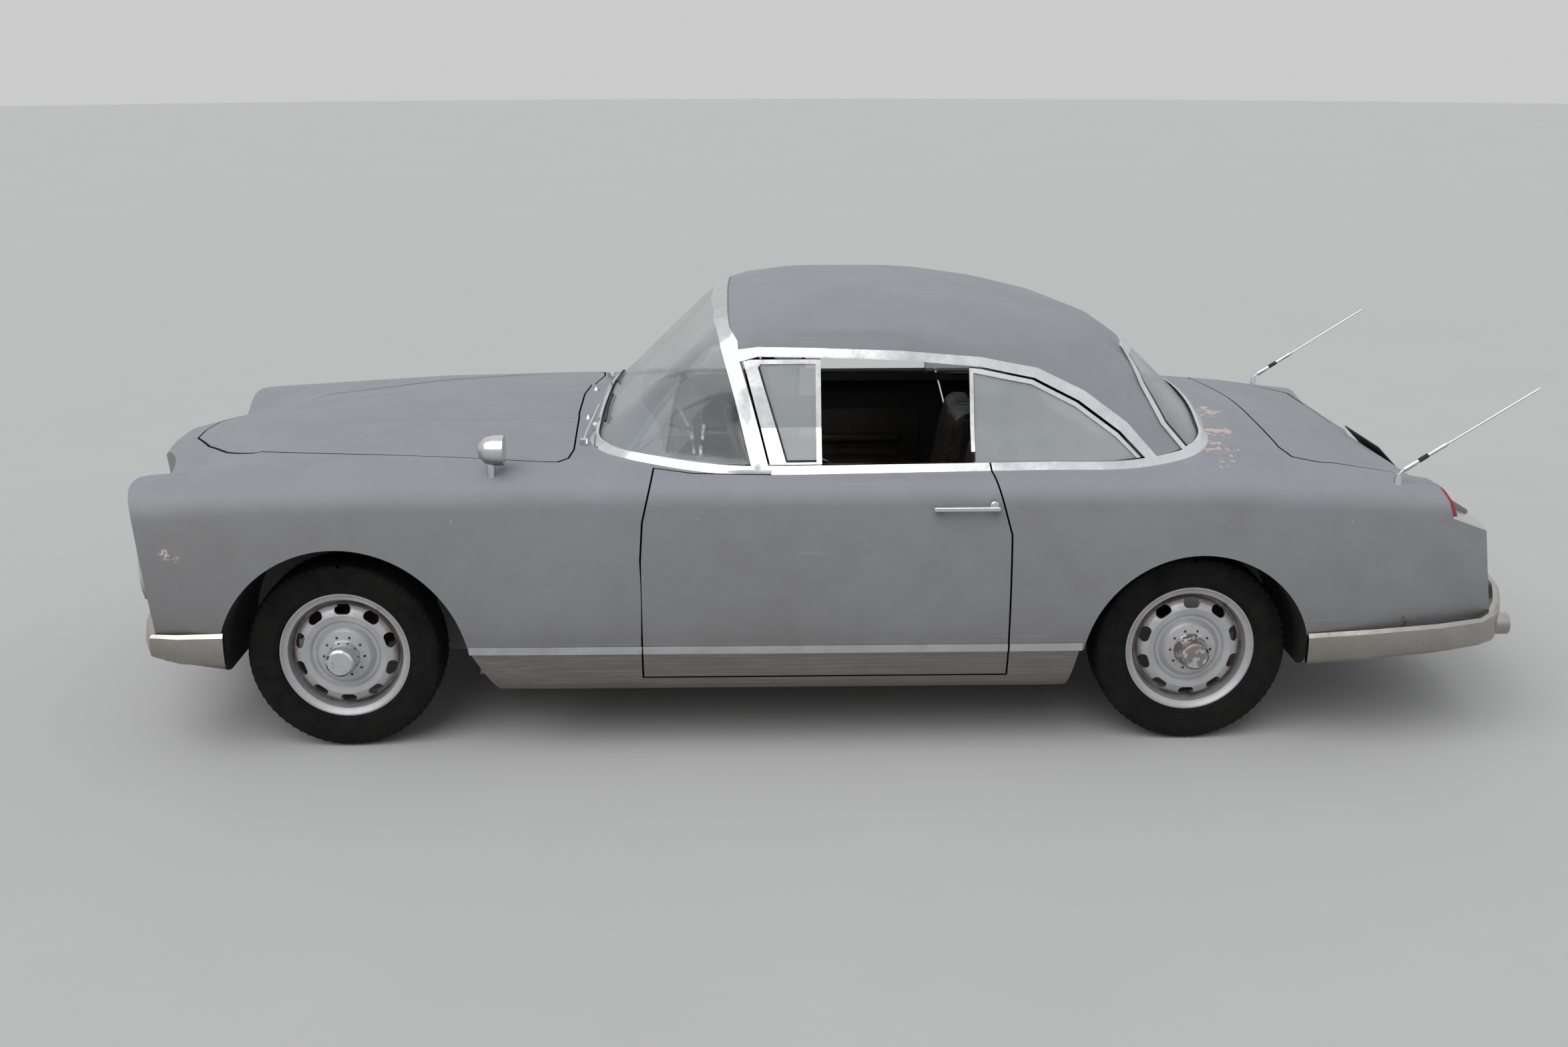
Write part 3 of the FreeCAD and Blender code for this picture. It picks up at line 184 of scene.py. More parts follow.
def makePatch():
    inputs = {"Centre": (0.0, 0.0, 0.0), "Reach": 0.2, "Grain": 60.0, "Amount": 0.5}
    tree, given, made = newGroup("patch", inputs, ["Mask"])
    place = objectPlace(tree)
    away = put(tree, "VectorMath", {0: place, 1: given["Centre"]}, operation="DISTANCE").outputs["Value"]
    near = maths(tree, "SUBTRACT", 1.0, maths(tree, "DIVIDE", away, given["Reach"]))
    near = maths(tree, "MULTIPLY", maths(tree, "MAXIMUM", near, 0.0), given["Amount"])
    grain = noise(tree, place, given["Grain"], 4, 0.6)
    flakes = maths(tree, "ADD", grain, maths(tree, "MULTIPLY", near, 0.4))
    tree.links.new(span(tree, flakes, 0.76, 0.79), made["Mask"])
    return tree


# Mask of faces turned towards the car's middle; the primer paints them near black as painted shade
def makeInside():
    tree, given, made = newGroup("insideFaces", {"Middle": (0.0, 0.0, 0.6)}, ["Mask"])
    coords = put(tree, "TexCoord")
    outward = put(tree, "VectorMath", {0: coords.outputs["Object"], 1: given["Middle"]}, operation="SUBTRACT")
    facing = put(tree, "VectorMath", {0: outward.outputs[0], 1: coords.outputs["Normal"]},
                 operation="DOT_PRODUCT")
    mask = maths(tree, "LESS_THAN", facing.outputs["Value"], 0.0)
    tree.links.new(mask, made["Mask"])
    return tree


clouds = makeClouds()
speckles = makeSpeckles()
scratches = makeScratches()
lowDirt = makeLowDirt()
patch = makePatch()
insideFaces = makeInside()


def finishMaterial(name, color, rough, metal=0.0, height=None, depth=0.0005, **fixed):
    material = bpy.data.materials.new(name)
    material.use_nodes = True
    tree = material.node_tree
    shader = tree.nodes["Principled BSDF"]
    values = {"Base Color": color(tree), "Roughness": rough(tree) if callable(rough) else rough,
              "Metallic": metal(tree) if callable(metal) else metal}
    if height:
        bump = put(tree, "Bump", {"Height": height(tree), "Strength": 0.6, "Distance": depth})
        values["Normal"] = bump.outputs[0]
    values.update({key.replace("_", " "): value for key, value in fixed.items()})
    for socket, value in values.items():
        if isinstance(value, bpy.types.NodeSocket):
            tree.links.new(value, shader.inputs[socket])
        else:
            shader.inputs[socket].default_value = value
    return material


# Grey primer, cloudy and chalky on top with painted top light, darker and dirty along the sills, inner faces
# in painted shade

primerLook = {
    "cool": (0.262, 0.267, 0.285), "warm": (0.222, 0.220, 0.221), "chalkTopLight": (0.330, 0.342, 0.380),
    "grime": (0.115, 0.104, 0.092), "undercoat": (0.62, 0.50, 0.46), "rust": (0.16, 0.055, 0.022),
    "paintedInsideShade": (0.030, 0.029, 0.028), "scratch": (0.40, 0.41, 0.43),
    "chips": [((-1.992, -0.87, 0.668), 0.035, 160, 1.0), ((-1.955, -0.87, 0.655), 0.045, 190, 0.6),
              ((1.313, -0.25, 0.955), 0.12, 30, 0.85), ((1.300, -0.45, 0.950), 0.13, 28, 0.95),
              ((1.270, -0.62, 0.930), 0.10, 30, 0.95), ((1.253, -0.73, 0.915), 0.06, 40, 1.0),
              ((1.398, -0.78, 0.900), 0.05, 45, 0.95), ((0.235, -0.72, 1.375), 0.03, 150, 0.8),
              ((0.742, -0.60, 1.240), 0.03, 150, 0.8)],
    "rustSpots": [((1.815, -0.84, 0.420), 0.045, 140, 0.95), ((1.870, -0.83, 0.420), 0.045, 140, 0.9),
                  ((1.581, -0.86, 0.424), 0.030, 140, 0.9)],
}


def primerColor(tree):
    look = primerLook
    coords = put(tree, "TexCoord")
    upward = put(tree, "SeparateXYZ", {0: coords.outputs["Normal"]}).outputs[2]
    color = blendColor(tree, effect(tree, clouds, Scale=1.7, Contrast=0.8), look["warm"], look["cool"])
    # Faces turned up blend towards the chalk tone: chalking, and painted top light on shoulders, hood and
    # roof
    chalkTopLightMask = maths(tree, "MULTIPLY", span(tree, upward, 0.15, 0.85), 0.78)
    color = blendColor(tree, chalkTopLightMask, color, look["chalkTopLight"])
    mottled = effect(tree, clouds, Scale=7.0, Contrast=0.7)
    color = blendColor(tree, maths(tree, "MULTIPLY", mottled, 0.12), color, (0.15, 0.15, 0.152))
    marks = effect(tree, scratches, Stretch=(1.0, 22.0, 22.0), Scale=2.2, Amount=0.15)
    color = blendColor(tree, maths(tree, "MULTIPLY", marks, 0.15), color, look["scratch"])
    color = blendColor(tree, maths(tree, "MULTIPLY", effect(tree, speckles, Scale=150.0, Amount=0.05), 0.5),
                       color, look["undercoat"])
    for centre, reach, grain, amount in look["chips"]:
        mask = effect(tree, patch, Centre=centre, Reach=reach, Grain=grain, Amount=amount)
        color = blendColor(tree, mask, color, look["undercoat"])
    for centre, reach, grain, amount in look["rustSpots"]:
        mask = effect(tree, patch, Centre=centre, Reach=reach, Grain=grain, Amount=amount)
        color = blendColor(tree, mask, color, look["rust"])
    dirt = effect(tree, lowDirt, Top=0.52, Depth=0.30, Scale=6.0)
    color = blendColor(tree, maths(tree, "MULTIPLY", dirt, 0.55), color, look["grime"])
    # Faces turned inward (jambs, engine bay, cabin) are painted near black: painted shade
    return blendColor(tree, effect(tree, insideFaces), color, look["paintedInsideShade"])


def primerRough(tree):
    return span(tree, effect(tree, clouds, Scale=5.0, Contrast=1.0), 0.0, 1.0, 0.48, 0.66)


def primerHeight(tree):
    place = objectPlace(tree)
    waves = maths(tree, "MULTIPLY", noise(tree, place, 9, 2), 2.5)
    return maths(tree, "ADD", noise(tree, place, 420, 3), waves)


primer = finishMaterial("greyPrimer", primerColor, primerRough, height=primerHeight, depth=0.0004,
                        Specular_IOR_Level=0.42)


# Bright metals

def chromeColor(tree):
    upward = put(tree, "SeparateXYZ", {0: put(tree, "TexCoord").outputs["Normal"]}).outputs[2]
    color = blendColor(tree, effect(tree, clouds, Scale=9.0, Contrast=0.8), (0.58, 0.58, 0.59),
                       (0.74, 0.75, 0.76))
    # Faces turned down go dark and faces turned up stay light: a painted reflection of floor and sky
    color = blendColor(tree, span(tree, upward, -0.75, 0.05), (0.27, 0.265, 0.26), color)
    return blendColor(tree, effect(tree, speckles, Scale=420.0, Amount=0.35), color, (0.16, 0.12, 0.09))


def chromeRough(tree):
    worn = span(tree, effect(tree, clouds, Scale=14.0, Contrast=0.8), 0.0, 1.0, 0.10, 0.24)
    return blendValue(tree, effect(tree, speckles, Scale=420.0, Amount=0.35), worn, 0.7)


def chromeHeight(tree):
    return noise(tree, objectPlace(tree), 60, 3)


chrome = finishMaterial("wornChrome", chromeColor, chromeRough, 1.0, chromeHeight, 0.0002)


# The bumpers' plating is older: warm, hazy and darker towards its lower edge

def bumperColor(tree):
    haze = effect(tree, clouds, Scale=4.0, Contrast=0.9)
    color = blendColor(tree, haze, (0.36, 0.34, 0.315), (0.47, 0.45, 0.42))
    grime = effect(tree, lowDirt, Top=0.44, Depth=0.16, Scale=12.0)
    color = blendColor(tree, maths(tree, "MULTIPLY", grime, 0.55), color, (0.20, 0.18, 0.16))
    return blendColor(tree, effect(tree, speckles, Scale=300.0, Amount=0.35), color, (0.12, 0.08, 0.05))


oldChrome = finishMaterial("hazyBumperChrome", bumperColor, lambda tree: span(
    tree, effect(tree, clouds, Scale=10.0, Contrast=0.9), 0.0, 1.0, 0.16, 0.32), 1.0, chromeHeight, 0.0002)


# The brushed tones are kept dark: partly dirt, partly painted shade for the sill's place low under the body
def brushedColor(tree):
    grain = effect(tree, scratches, Stretch=(0.6, 160.0, 160.0), Scale=4.0, Amount=1.0)
    color = blendColor(tree, grain, (0.22, 0.21, 0.195), (0.32, 0.305, 0.285))
    stain = effect(tree, lowDirt, Top=0.245, Depth=0.06, Scale=26.0)
    color = blendColor(tree, stain, color, (0.15, 0.075, 0.035))
    return blendColor(tree, maths(tree, "MULTIPLY", effect(tree, clouds, Scale=8.0, Contrast=0.6), 0.35),
                      color, (0.20, 0.175, 0.15))


def brushedRough(tree):
    grain = effect(tree, scratches, Stretch=(0.6, 160.0, 160.0), Scale=4.0, Amount=1.0)
    return span(tree, grain, 0.0, 1.0, 0.46, 0.32)


def brushedMetal(tree):
    return span(tree, effect(tree, lowDirt, Top=0.245, Depth=0.06, Scale=26.0), 0.0, 1.0, 0.85, 0.1)


def brushedGrain(tree):
    return effect(tree, scratches, Stretch=(0.6, 160.0, 160.0), Scale=4.0, Amount=1.0)


brushed = finishMaterial("brushedSill", brushedColor, brushedRough, brushedMetal, brushedGrain, 0.0001)


# The doors' bright parts: chrome above, a brushed panel below the strip

def belowStrip(tree):
    return maths(tree, "LESS_THAN", put(tree, "SeparateXYZ", {0: objectPlace(tree)}).outputs[2], 0.3435)


doorBright = finishMaterial(
    "doorBrightwork", lambda tree: blendColor(tree, belowStrip(tree), chromeColor(tree), brushedColor(tree)),
    lambda tree: blendValue(tree, belowStrip(tree), chromeRough(tree), brushedRough(tree)),
    lambda tree: blendValue(tree, belowStrip(tree), 1.0, brushedMetal(tree)), chromeHeight, 0.0002)


# Glass and lenses

def dustyRough(tree):
    return span(tree, effect(tree, clouds, Scale=4.0, Contrast=0.9), 0.0, 1.0, 0.02, 0.10)


def glassColor(tree):
    dust = effect(tree, clouds, Scale=3.0, Contrast=0.8)
    color = blendColor(tree, dust, (0.74, 0.80, 0.80), (0.82, 0.86, 0.86))
    return blendColor(tree, effect(tree, speckles, Scale=170.0, Amount=0.2), color, (0.60, 0.58, 0.54))


glass = finishMaterial("dustyGlass", glassColor, dustyRough, Transmission_Weight=0.95, IOR=1.45, Alpha=0.62)
sideGlass = finishMaterial("dustySideGlass", lambda tree: blendColor(
    tree, effect(tree, clouds, Scale=3.0, Contrast=0.8), (0.72, 0.77, 0.78), (0.82, 0.86, 0.86)),
    0.0, Transmission_Weight=0.55, IOR=1.5, Alpha=0.72)


def fluted(tree):
    return put(tree, "TexWave", {"Vector": objectPlace(tree), "Scale": 22.0, "Distortion": 0.0},
               bands_direction="Y").outputs["Fac"]


lampGlass = finishMaterial("flutedLampGlass", lambda tree: blendColor(
    tree, effect(tree, clouds, Scale=20.0, Contrast=0.5), (0.86, 0.88, 0.88), (0.94, 0.95, 0.95)),
    0.06, height=fluted, depth=0.0015, Transmission_Weight=0.75, IOR=1.46)
tailLens = finishMaterial("redLens", lambda tree: blendColor(
    tree, effect(tree, clouds, Scale=30.0, Contrast=0.6), (0.32, 0.012, 0.010), (0.48, 0.03, 0.02)),
    0.14, height=fluted, depth=0.001, Transmission_Weight=0.35)


# Rubber, black parts, hide and cloth

def rubberColor(tree):
    color = blendColor(tree, effect(tree, clouds, Scale=6.0, Contrast=0.8), (0.006, 0.006, 0.0065),
                       (0.012, 0.0118, 0.0115))
    dust = effect(tree, clouds, Scale=22.0, Contrast=0.5)
    return blendColor(tree, maths(tree, "MULTIPLY", dust, 0.08), color, (0.08, 0.072, 0.062))


rubber = finishMaterial("tyreRubber", rubberColor, lambda tree: span(
    tree, effect(tree, clouds, Scale=12.0, Contrast=0.7), 0.0, 1.0, 0.55, 0.85),
    height=lambda tree: noise(tree, objectPlace(tree), 300, 3), depth=0.0003, Specular_IOR_Level=0.10)
seal = finishMaterial("blackSeal", lambda tree: blendColor(
    tree, effect(tree, clouds, Scale=15.0, Contrast=0.8), (0.010, 0.010, 0.011), (0.026, 0.025, 0.025)),
    lambda tree: span(tree, effect(tree, clouds, Scale=25.0, Contrast=0.8), 0.0, 1.0, 0.5, 0.8),
    height=lambda tree: noise(tree, objectPlace(tree), 500, 2), depth=0.0002)


def rustyColor(tree):
    color = blendColor(tree, effect(tree, clouds, Scale=7.0, Contrast=0.7), (0.022, 0.020, 0.019),
                       (0.055, 0.045, 0.038))
    rust = effect(tree, clouds, Scale=16.0, Contrast=0.4)
    return blendColor(tree, maths(tree, "MULTIPLY", rust, 0.55), color, (0.13, 0.052, 0.024))


blackSteel = finishMaterial("rustyBlackSteel", rustyColor, 0.78,
                            height=lambda tree: noise(tree, objectPlace(tree), 130, 5), depth=0.0008)
castBlock = finishMaterial("oilyCastIron", lambda tree: blendColor(
    tree, effect(tree, clouds, Scale=9.0, Contrast=0.7), (0.055, 0.052, 0.050), (0.12, 0.115, 0.11)),
    0.62, 0.4,
    lambda tree: noise(tree, objectPlace(tree), 220, 4), 0.001)
darkPaint = finishMaterial("dullDashPaint", lambda tree: blendColor(
    tree, effect(tree, clouds, Scale=6.0, Contrast=0.7), (0.028, 0.024, 0.021), (0.050, 0.044, 0.039)),
    0.45, height=lambda tree: noise(tree, objectPlace(tree), 350, 3), depth=0.0002)


def hideColor(tree):
    color = blendColor(tree, effect(tree, clouds, Scale=5.0, Contrast=0.8), (0.018, 0.015, 0.013),
                       (0.045, 0.037, 0.031))
    cracks = put(tree, "TexVoronoi", {"Vector": objectPlace(tree), "Scale": 90.0},
                 feature="DISTANCE_TO_EDGE").outputs["Distance"]
    worn = maths(tree, "MULTIPLY", span(tree, cracks, 0.06, 0.0), 0.5)
    return blendColor(tree, worn, color, (0.10, 0.082, 0.066))


hide = finishMaterial("wornBlackHide", hideColor, lambda tree: span(
    tree, effect(tree, clouds, Scale=10.0, Contrast=0.7), 0.0, 1.0, 0.38, 0.6),
    height=lambda tree: put(tree, "TexVoronoi", {"Vector": objectPlace(tree), "Scale": 260.0},
                            feature="DISTANCE_TO_EDGE").outputs["Distance"], depth=0.0008)


pile = finishMaterial("darkCarpet", lambda tree: blendColor(
    tree, effect(tree, clouds, Scale=8.0, Contrast=0.8), (0.020, 0.018, 0.017), (0.055, 0.048, 0.042)), 0.95,
    height=lambda tree: noise(tree, objectPlace(tree), 900, 2), depth=0.002)


# Wheels: worn silver paint, with a bright cap over each hub

def wheelMaterial(name, hub, side, capWear):
    def local(tree):
        return put(tree, "SeparateXYZ", {0: put(tree, "VectorMath", {0: objectPlace(tree), 1: tuple(hub)},
                                               operation="SUBTRACT").outputs[0]}).outputs

    def fromAxle(tree, x, z):
        square = maths(tree, "ADD", maths(tree, "MULTIPLY", x, x), maths(tree, "MULTIPLY", z, z))
        return maths(tree, "SQRT", square)

    def capMask(tree):
        x, y, z = local(tree)
        radius = fromAxle(tree, x, z)
        outward = maths(tree, "MULTIPLY", y, side)
        return maths(tree, "MULTIPLY", maths(tree, "LESS_THAN", radius, 0.0535),
                     maths(tree, "GREATER_THAN", outward, 0.0795))

    def peeled(tree):
        return span(tree, noise(tree, objectPlace(tree), 42.0, 4, 0.6), 1.0 - capWear, 1.02 - capWear)

    def color(tree):
        x, y, z = local(tree)
        radius = fromAxle(tree, x, z)
        silver = blendColor(tree, effect(tree, clouds, Scale=9.0, Contrast=0.9), (0.44, 0.44, 0.45),
                            (0.54, 0.54, 0.55))
        well = maths(tree, "MULTIPLY", span(tree, radius, 0.146, 0.158), span(tree, radius, 0.180, 0.172))
        stains = effect(tree, clouds, Scale=15.0, Contrast=0.6)
        dirt = maths(tree, "ADD", maths(tree, "MULTIPLY", stains, 0.6), 0.15)
        silver = blendColor(tree, maths(tree, "MULTIPLY", well, dirt), silver, (0.16, 0.095, 0.06))
        pits = effect(tree, speckles, Scale=150.0, Amount=0.12)
        silver = blendColor(tree, pits, silver, (0.15, 0.09, 0.06))
        bright = blendColor(tree, peeled(tree), chromeColor(tree), (0.30, 0.27, 0.245))
        return blendColor(tree, capMask(tree), silver, bright)

    def rough(tree):
        return blendValue(tree, capMask(tree), 0.42, span(tree, peeled(tree), 0.0, 1.0, 0.12, 0.6))

    def metal(tree):
        return blendValue(tree, capMask(tree), 0.45, 1.0)

    return finishMaterial(name, color, rough, metal,
                          lambda tree: noise(tree, objectPlace(tree), 180, 3), 0.0004)


print("materials built")


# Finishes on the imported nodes

finishes = {
    primer: ["body_shell", "hood", "boot_lid", "door_left", "door_right", "roof_and_pillars"],
    chrome: ["window_mouldings", "sill_strips", "lamp_bezels", "grille", "fender_mirror", "wipers",
             "antennas"],
    oldChrome: ["front_bumper", "rear_bumper"],
    brushed: ["sill_panels"], doorBright: ["door_brightwork_left", "door_brightwork_right"],
    glass: ["windshield", "rear_window"],
    sideGlass: ["quarter_glass", "vent_glass_left", "vent_glass_right"],
    lampGlass: ["headlamps"], tailLens: ["tail_lamps"],
    blackSteel: ["knuckle_left", "knuckle_right", "front_frame", "rear_axle", "exhaust_pipes"],
    castBlock: ["engine"], darkPaint: ["dashboard", "steering_wheel"], seal: ["plate_carrier"],
    hide: ["front_seats", "rear_seat"],
    rubber: [name for name in nodes if name.startswith("tyre_")],
}
for material, names in finishes.items():
    for name in names:
        mesh = nodes[name].data
        mesh.materials.clear()
        mesh.materials.append(material)
for name in nodes:
    if name.startswith("wheel_"):
        low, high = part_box(name.replace("wheel_", "tyre_"))
        hub = (low + high) / 2
        wear = 0.53 if "rear_left" in name else 0.36
        mesh = nodes[name].data
        mesh.materials.clear()
        mesh.materials.append(wheelMaterial("silver_" + name, hub, -1.0 if "left" in name else 1.0, wear))
print("packed nodes finished")


# Modelling helpers

def bodyOf(node):
    return next(name for name, empty in frame["bodies"].items() if empty == nodes[node].parent)


def only(piece):
    bpy.ops.object.select_all(action="DESELECT")
    piece.select_set(True)
    bpy.context.view_layer.objects.active = piece


def newPiece(name, vertices=(), edges=(), faces=(), mesh=None):
    if mesh is None:
        mesh = bpy.data.meshes.new(name)
        mesh.from_pydata(vertices, edges, faces)
    mesh.name = name
    piece = bpy.data.objects.new(name, mesh)
    bpy.context.collection.objects.link(piece)
    only(piece)
    return piece


def edited(piece, *steps):
    only(piece)
    bpy.ops.object.mode_set(mode="EDIT")
    for step, settings in steps:
        bpy.ops.mesh.select_all(action="SELECT")
        getattr(bpy.ops.mesh, step)(**settings)
    bpy.ops.object.mode_set(mode="OBJECT")
    return piece


def shaped(piece, kind, **settings):
    only(piece)
    modifier = piece.modifiers.new(kind.lower(), kind)
    for key, value in settings.items():
        setattr(modifier, key, value)
    bpy.ops.object.modifier_apply(modifier=modifier.name)
    return piece


def joined(name, pieces):
    only(pieces[0])
    for piece in pieces:
        piece.select_set(True)
    bpy.ops.object.join()
    whole = bpy.context.object
    whole.name = name
    return whole


def done(piece, material, body, angle=32):
    if material:
        piece.data.materials.clear()
        piece.data.materials.append(material)
    only(piece)
    bpy.ops.object.transform_apply(location=True, rotation=True, scale=True)
    bpy.ops.object.shade_smooth_by_angle(angle=math.radians(angle))
    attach(piece, body)
    return piece


def slab(name, low, high, bevel=0.0, segments=2):
    x, y, z = zip(low, high)
    corners = [(x[a], y[b], z[c]) for a in (0, 1) for b in (0, 1) for c in (0, 1)]
    faces = [(0, 1, 3, 2), (4, 6, 7, 5), (0, 4, 5, 1), (2, 3, 7, 6), (0, 2, 6, 4), (1, 5, 7, 3)]
    piece = newPiece(name, corners, (), faces)
    edited(piece, ("normals_make_consistent", {"inside": False}))
    if bevel:
        edited(piece, ("bevel", {"offset": bevel, "segments": segments, "affect": "EDGES"}))
    return piece


def lathe(name, profile, centre, axis, steps=72, closed=False):
    axis = Vector(axis).normalized()
    aside = axis.orthogonal().normalized()
    points = [Vector(centre) + aside * radius + axis * reach for radius, reach in profile]
    edges = [(index, index + 1) for index in range(len(points) - 1)]
    if closed:
        edges.append((len(points) - 1, 0))
    piece = newPiece(name, points, edges)
    edited(piece, ("spin", {"steps": steps, "angle": 2 * math.pi, "center": centre, "axis": axis}),
           ("remove_doubles", {"threshold": 0.00002}), ("normals_make_consistent", {"inside": False}))
    return piece


def rod(name, points, radius, sides=10, smooth=0):
    curve = bpy.data.curves.new(name, "CURVE")
    curve.dimensions = "3D"
    curve.bevel_depth = radius
    curve.bevel_resolution = max(1, sides // 4)
    curve.use_fill_caps = True
    line = curve.splines.new("NURBS" if smooth else "POLY")
    line.points.add(len(points) - 1)
    for spot, point in zip(line.points, points):
        spot.co = (*point, 1)
    if smooth:
        line.use_endpoint_u = True
        line.order_u = 3
        line.resolution_u = smooth
    piece = bpy.data.objects.new(name, curve)
    bpy.context.collection.objects.link(piece)
    only(piece)
    bpy.ops.object.convert(target="MESH")
    piece = bpy.context.object
    return edited(piece, ("normals_make_consistent", {"inside": False}))


def mirrored(piece, name):
    mesh = piece.data.copy()
    mesh.transform(Matrix.Scale(-1, 4, (0, 1, 0)))
    return edited(newPiece(name, mesh=mesh), ("normals_make_consistent", {"inside": False}))


# Panels: merged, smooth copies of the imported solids

gapPanels = ["body_shell", "hood", "boot_lid", "door_left", "door_right"]
gapReach = 0.009
mergeReach = 0.00003
clearPanes = ["windshield", "rear_window", "quarter_glass"]


def treeOf(names):
    whole = bmesh.new()
    for name in names:
        whole.from_mesh(nodes[name].data)
    tree = BVHTree.FromBMesh(whole)
    whole.free()
    return tree


# Panel faces that look across a gap at another panel take the black seal material: painted shade in the shut
# lines, standing in for rubber seals too
def darkenGaps(piece, node):
    others = treeOf([name for name in gapPanels if name != node])
    piece.data.materials.append(seal)
    for face in piece.data.polygons:
        hit = others.ray_cast(face.center + face.normal * 0.0001, face.normal, gapReach)
        if hit[0]:
            face.material_index = 1


def smoothCopy(node, angle=24):
    mesh = nodes[node].data.copy()
    piece = newPiece(node + "_skin", mesh=mesh)
    edited(piece, ("remove_doubles", {"threshold": mergeReach}))
    if node not in clearPanes:
        edited(piece, ("dissolve_limited", {"angle_limit": math.radians(0.4)}))
    bpy.ops.mesh.customdata_custom_splitnormals_clear()
    if node in gapPanels:
        darkenGaps(piece, node)
    done(piece, None, bodyOf(node), angle)
    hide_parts(node)


panelAngles = {
    "body_shell": 24, "hood": 26, "boot_lid": 26, "door_left": 26, "door_right": 26, "roof_and_pillars": 50,
    "front_bumper": 32, "rear_bumper": 32, "window_mouldings": 34, "windshield": 30, "rear_window": 30,
    "quarter_glass": 30, "headlamps": 40, "sill_panels": 30, "sill_strips": 30, "steering_wheel": 40,
    "fender_mirror": 40, "antennas": 40, "lamp_bezels": 30, "wipers": 40, "rear_axle": 30,
    "exhaust_pipes": 40,
    "wheel_front_left": 30, "wheel_front_right": 30, "wheel_rear_left": 30, "wheel_rear_right": 30,
}
for node, angle in panelAngles.items():
    smoothCopy(node, angle)
print("panels smoothed")


# Tyres with ribs and shoulder blocks, rivets round each hub and a valve in each rim

tyreLook = {
    "side": [(0.1925, 0.0565), (0.2040, 0.0662), (0.2058, 0.0735), (0.2120, 0.0800), (0.2160, 0.0795),
             (0.2180, 0.0825), (0.2440, 0.0858), (0.2520, 0.0858), (0.2530, 0.0848), (0.2560, 0.0848),
             (0.2570, 0.0856), (0.2710, 0.0843), (0.2860, 0.0810), (0.2950, 0.0760), (0.2995, 0.0690),
             (0.3015, 0.0580)],
    "grooves": [0.0500, 0.0250, 0.0], "grooveHalf": 0.0030, "grooveDepth": 0.0075, "crown": 0.3046,
    "blocks": 68, "blockHalf": 0.0052, "blockLow": 0.2890, "blockHigh": 0.3042, "blockIn": 0.0560,
    "blockOut": 0.0795,
}


def tyreProfile():
    look = tyreLook
    half = list(look["side"])
    for centre in look["grooves"]:
        rise = look["crown"] - 0.0012 * (centre / 0.044) ** 2
        floor, lip, wall = rise - look["grooveDepth"], look["grooveHalf"] + 0.0006, look["grooveHalf"]
        half += [(rise, centre + lip), (floor, centre + wall)]
        if centre:
            half += [(floor, centre - wall), (rise, centre - lip)]
    return half + [(radius, -reach) for radius, reach in reversed(half)]


def addTyre(node):
    look = tyreLook
    low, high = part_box(node)
    hub = (low + high) / 2
    carcass = lathe(node + "_carcass", tyreProfile(), hub, (0, 1, 0), 120, True)
    blocks = []
    for sign in (-1, 1):
        y1, y2 = sorted((sign * look["blockIn"], sign * look["blockOut"]))
        block = slab(node + "_block", (-look["blockHalf"], y1, look["blockLow"]),
                     (look["blockHalf"], y2, look["blockHigh"]))
        for vertex in block.data.vertices:
            if abs(vertex.co.y) > 0.06:
                vertex.co.z -= 0.0080
                vertex.co.x *= 0.8
        block.data.transform(Matrix.Translation(hub))
        edited(block, ("spin", {"steps": look["blocks"], "angle": 2 * math.pi, "center": hub,
                                "axis": (0, 1, 0), "dupli": True}))
        blocks.append(block)
    tyre = joined(node + "_treaded", [carcass] + blocks)
    done(tyre, rubber, bodyOf(node), 30)
    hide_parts(node)


rivetLook = {"ring": 0.063, "radius": 0.0052, "reach": 0.0775, "count": 10, "valve": 0.178,
             "valveRadius": 0.0035}


def addRivets(node):
    look = rivetLook
    low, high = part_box(node.replace("wheel_", "tyre_"))
    hub = (low + high) / 2
    sign = -1.0 if "left" in node else 1.0
    radius = look["radius"]
    dome = [(0.0, radius * 0.7), (radius * 0.6, radius * 0.5), (radius, -0.002)]
    seat = hub + Vector((look["ring"], sign * look["reach"], 0))
    rivet = lathe(node + "_rivet", dome, seat, (0, sign, 0), 10)
    edited(rivet, ("spin", {"steps": look["count"], "angle": 2 * math.pi, "center": hub, "axis": (0, 1, 0),
                            "dupli": True}))
    start = hub + Vector((look["valve"] * 0.6, sign * 0.050, look["valve"] * 0.8))
    stem = [(0.0, 0.022), (0.0026, 0.022), (0.0026, 0.014), (look["valveRadius"], 0.012),
            (look["valveRadius"], -0.03)]
    valve = lathe(node + "_valve", stem, start, (0, sign, 0), 12)
    done(joined(node + "_rivets", [rivet, valve]), blackSteel, bodyOf(node))


for name in nodes:
    if name.startswith("tyre_"):
        addTyre(name)
    if name.startswith("wheel_"):
        addRivets(name)
print("tyres treaded")


# Rubber round the fixed glass: a strip along each pane's edge, raised off its outer face

def addGlassSeal(node, width, rise, body):
    mesh = nodes[node].data.copy()
    piece = newPiece(node + "_seal", mesh=mesh)
    edited(piece, ("remove_doubles", {"threshold": mergeReach}))
    low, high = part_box(node)
    middle = (low + high) / 2
    middle.z = 0.75
    edit = bmesh.new()
    edit.from_mesh(piece.data)
    edit.normal_update()
    away = [face for face in edit.faces if face.normal.dot(face.calc_center_median() - middle) < 0.03]
    bmesh.ops.delete(edit, geom=away, context="FACES")
    bmesh.ops.dissolve_limit(edit, angle_limit=math.radians(2), verts=edit.verts[:], edges=edit.edges[:])
    made = bmesh.ops.inset_region(edit, faces=edit.faces[:], thickness=width, use_boundary=True,
                                  use_even_offset=True)
    ring = set(made["faces"])
    bmesh.ops.delete(edit, geom=[face for face in edit.faces if face not in ring], context="FACES")
    edit.to_mesh(piece.data)
    edit.free()
    shaped(piece, "SOLIDIFY", thickness=rise, offset=1.0)
    return done(piece, seal, body, 40)


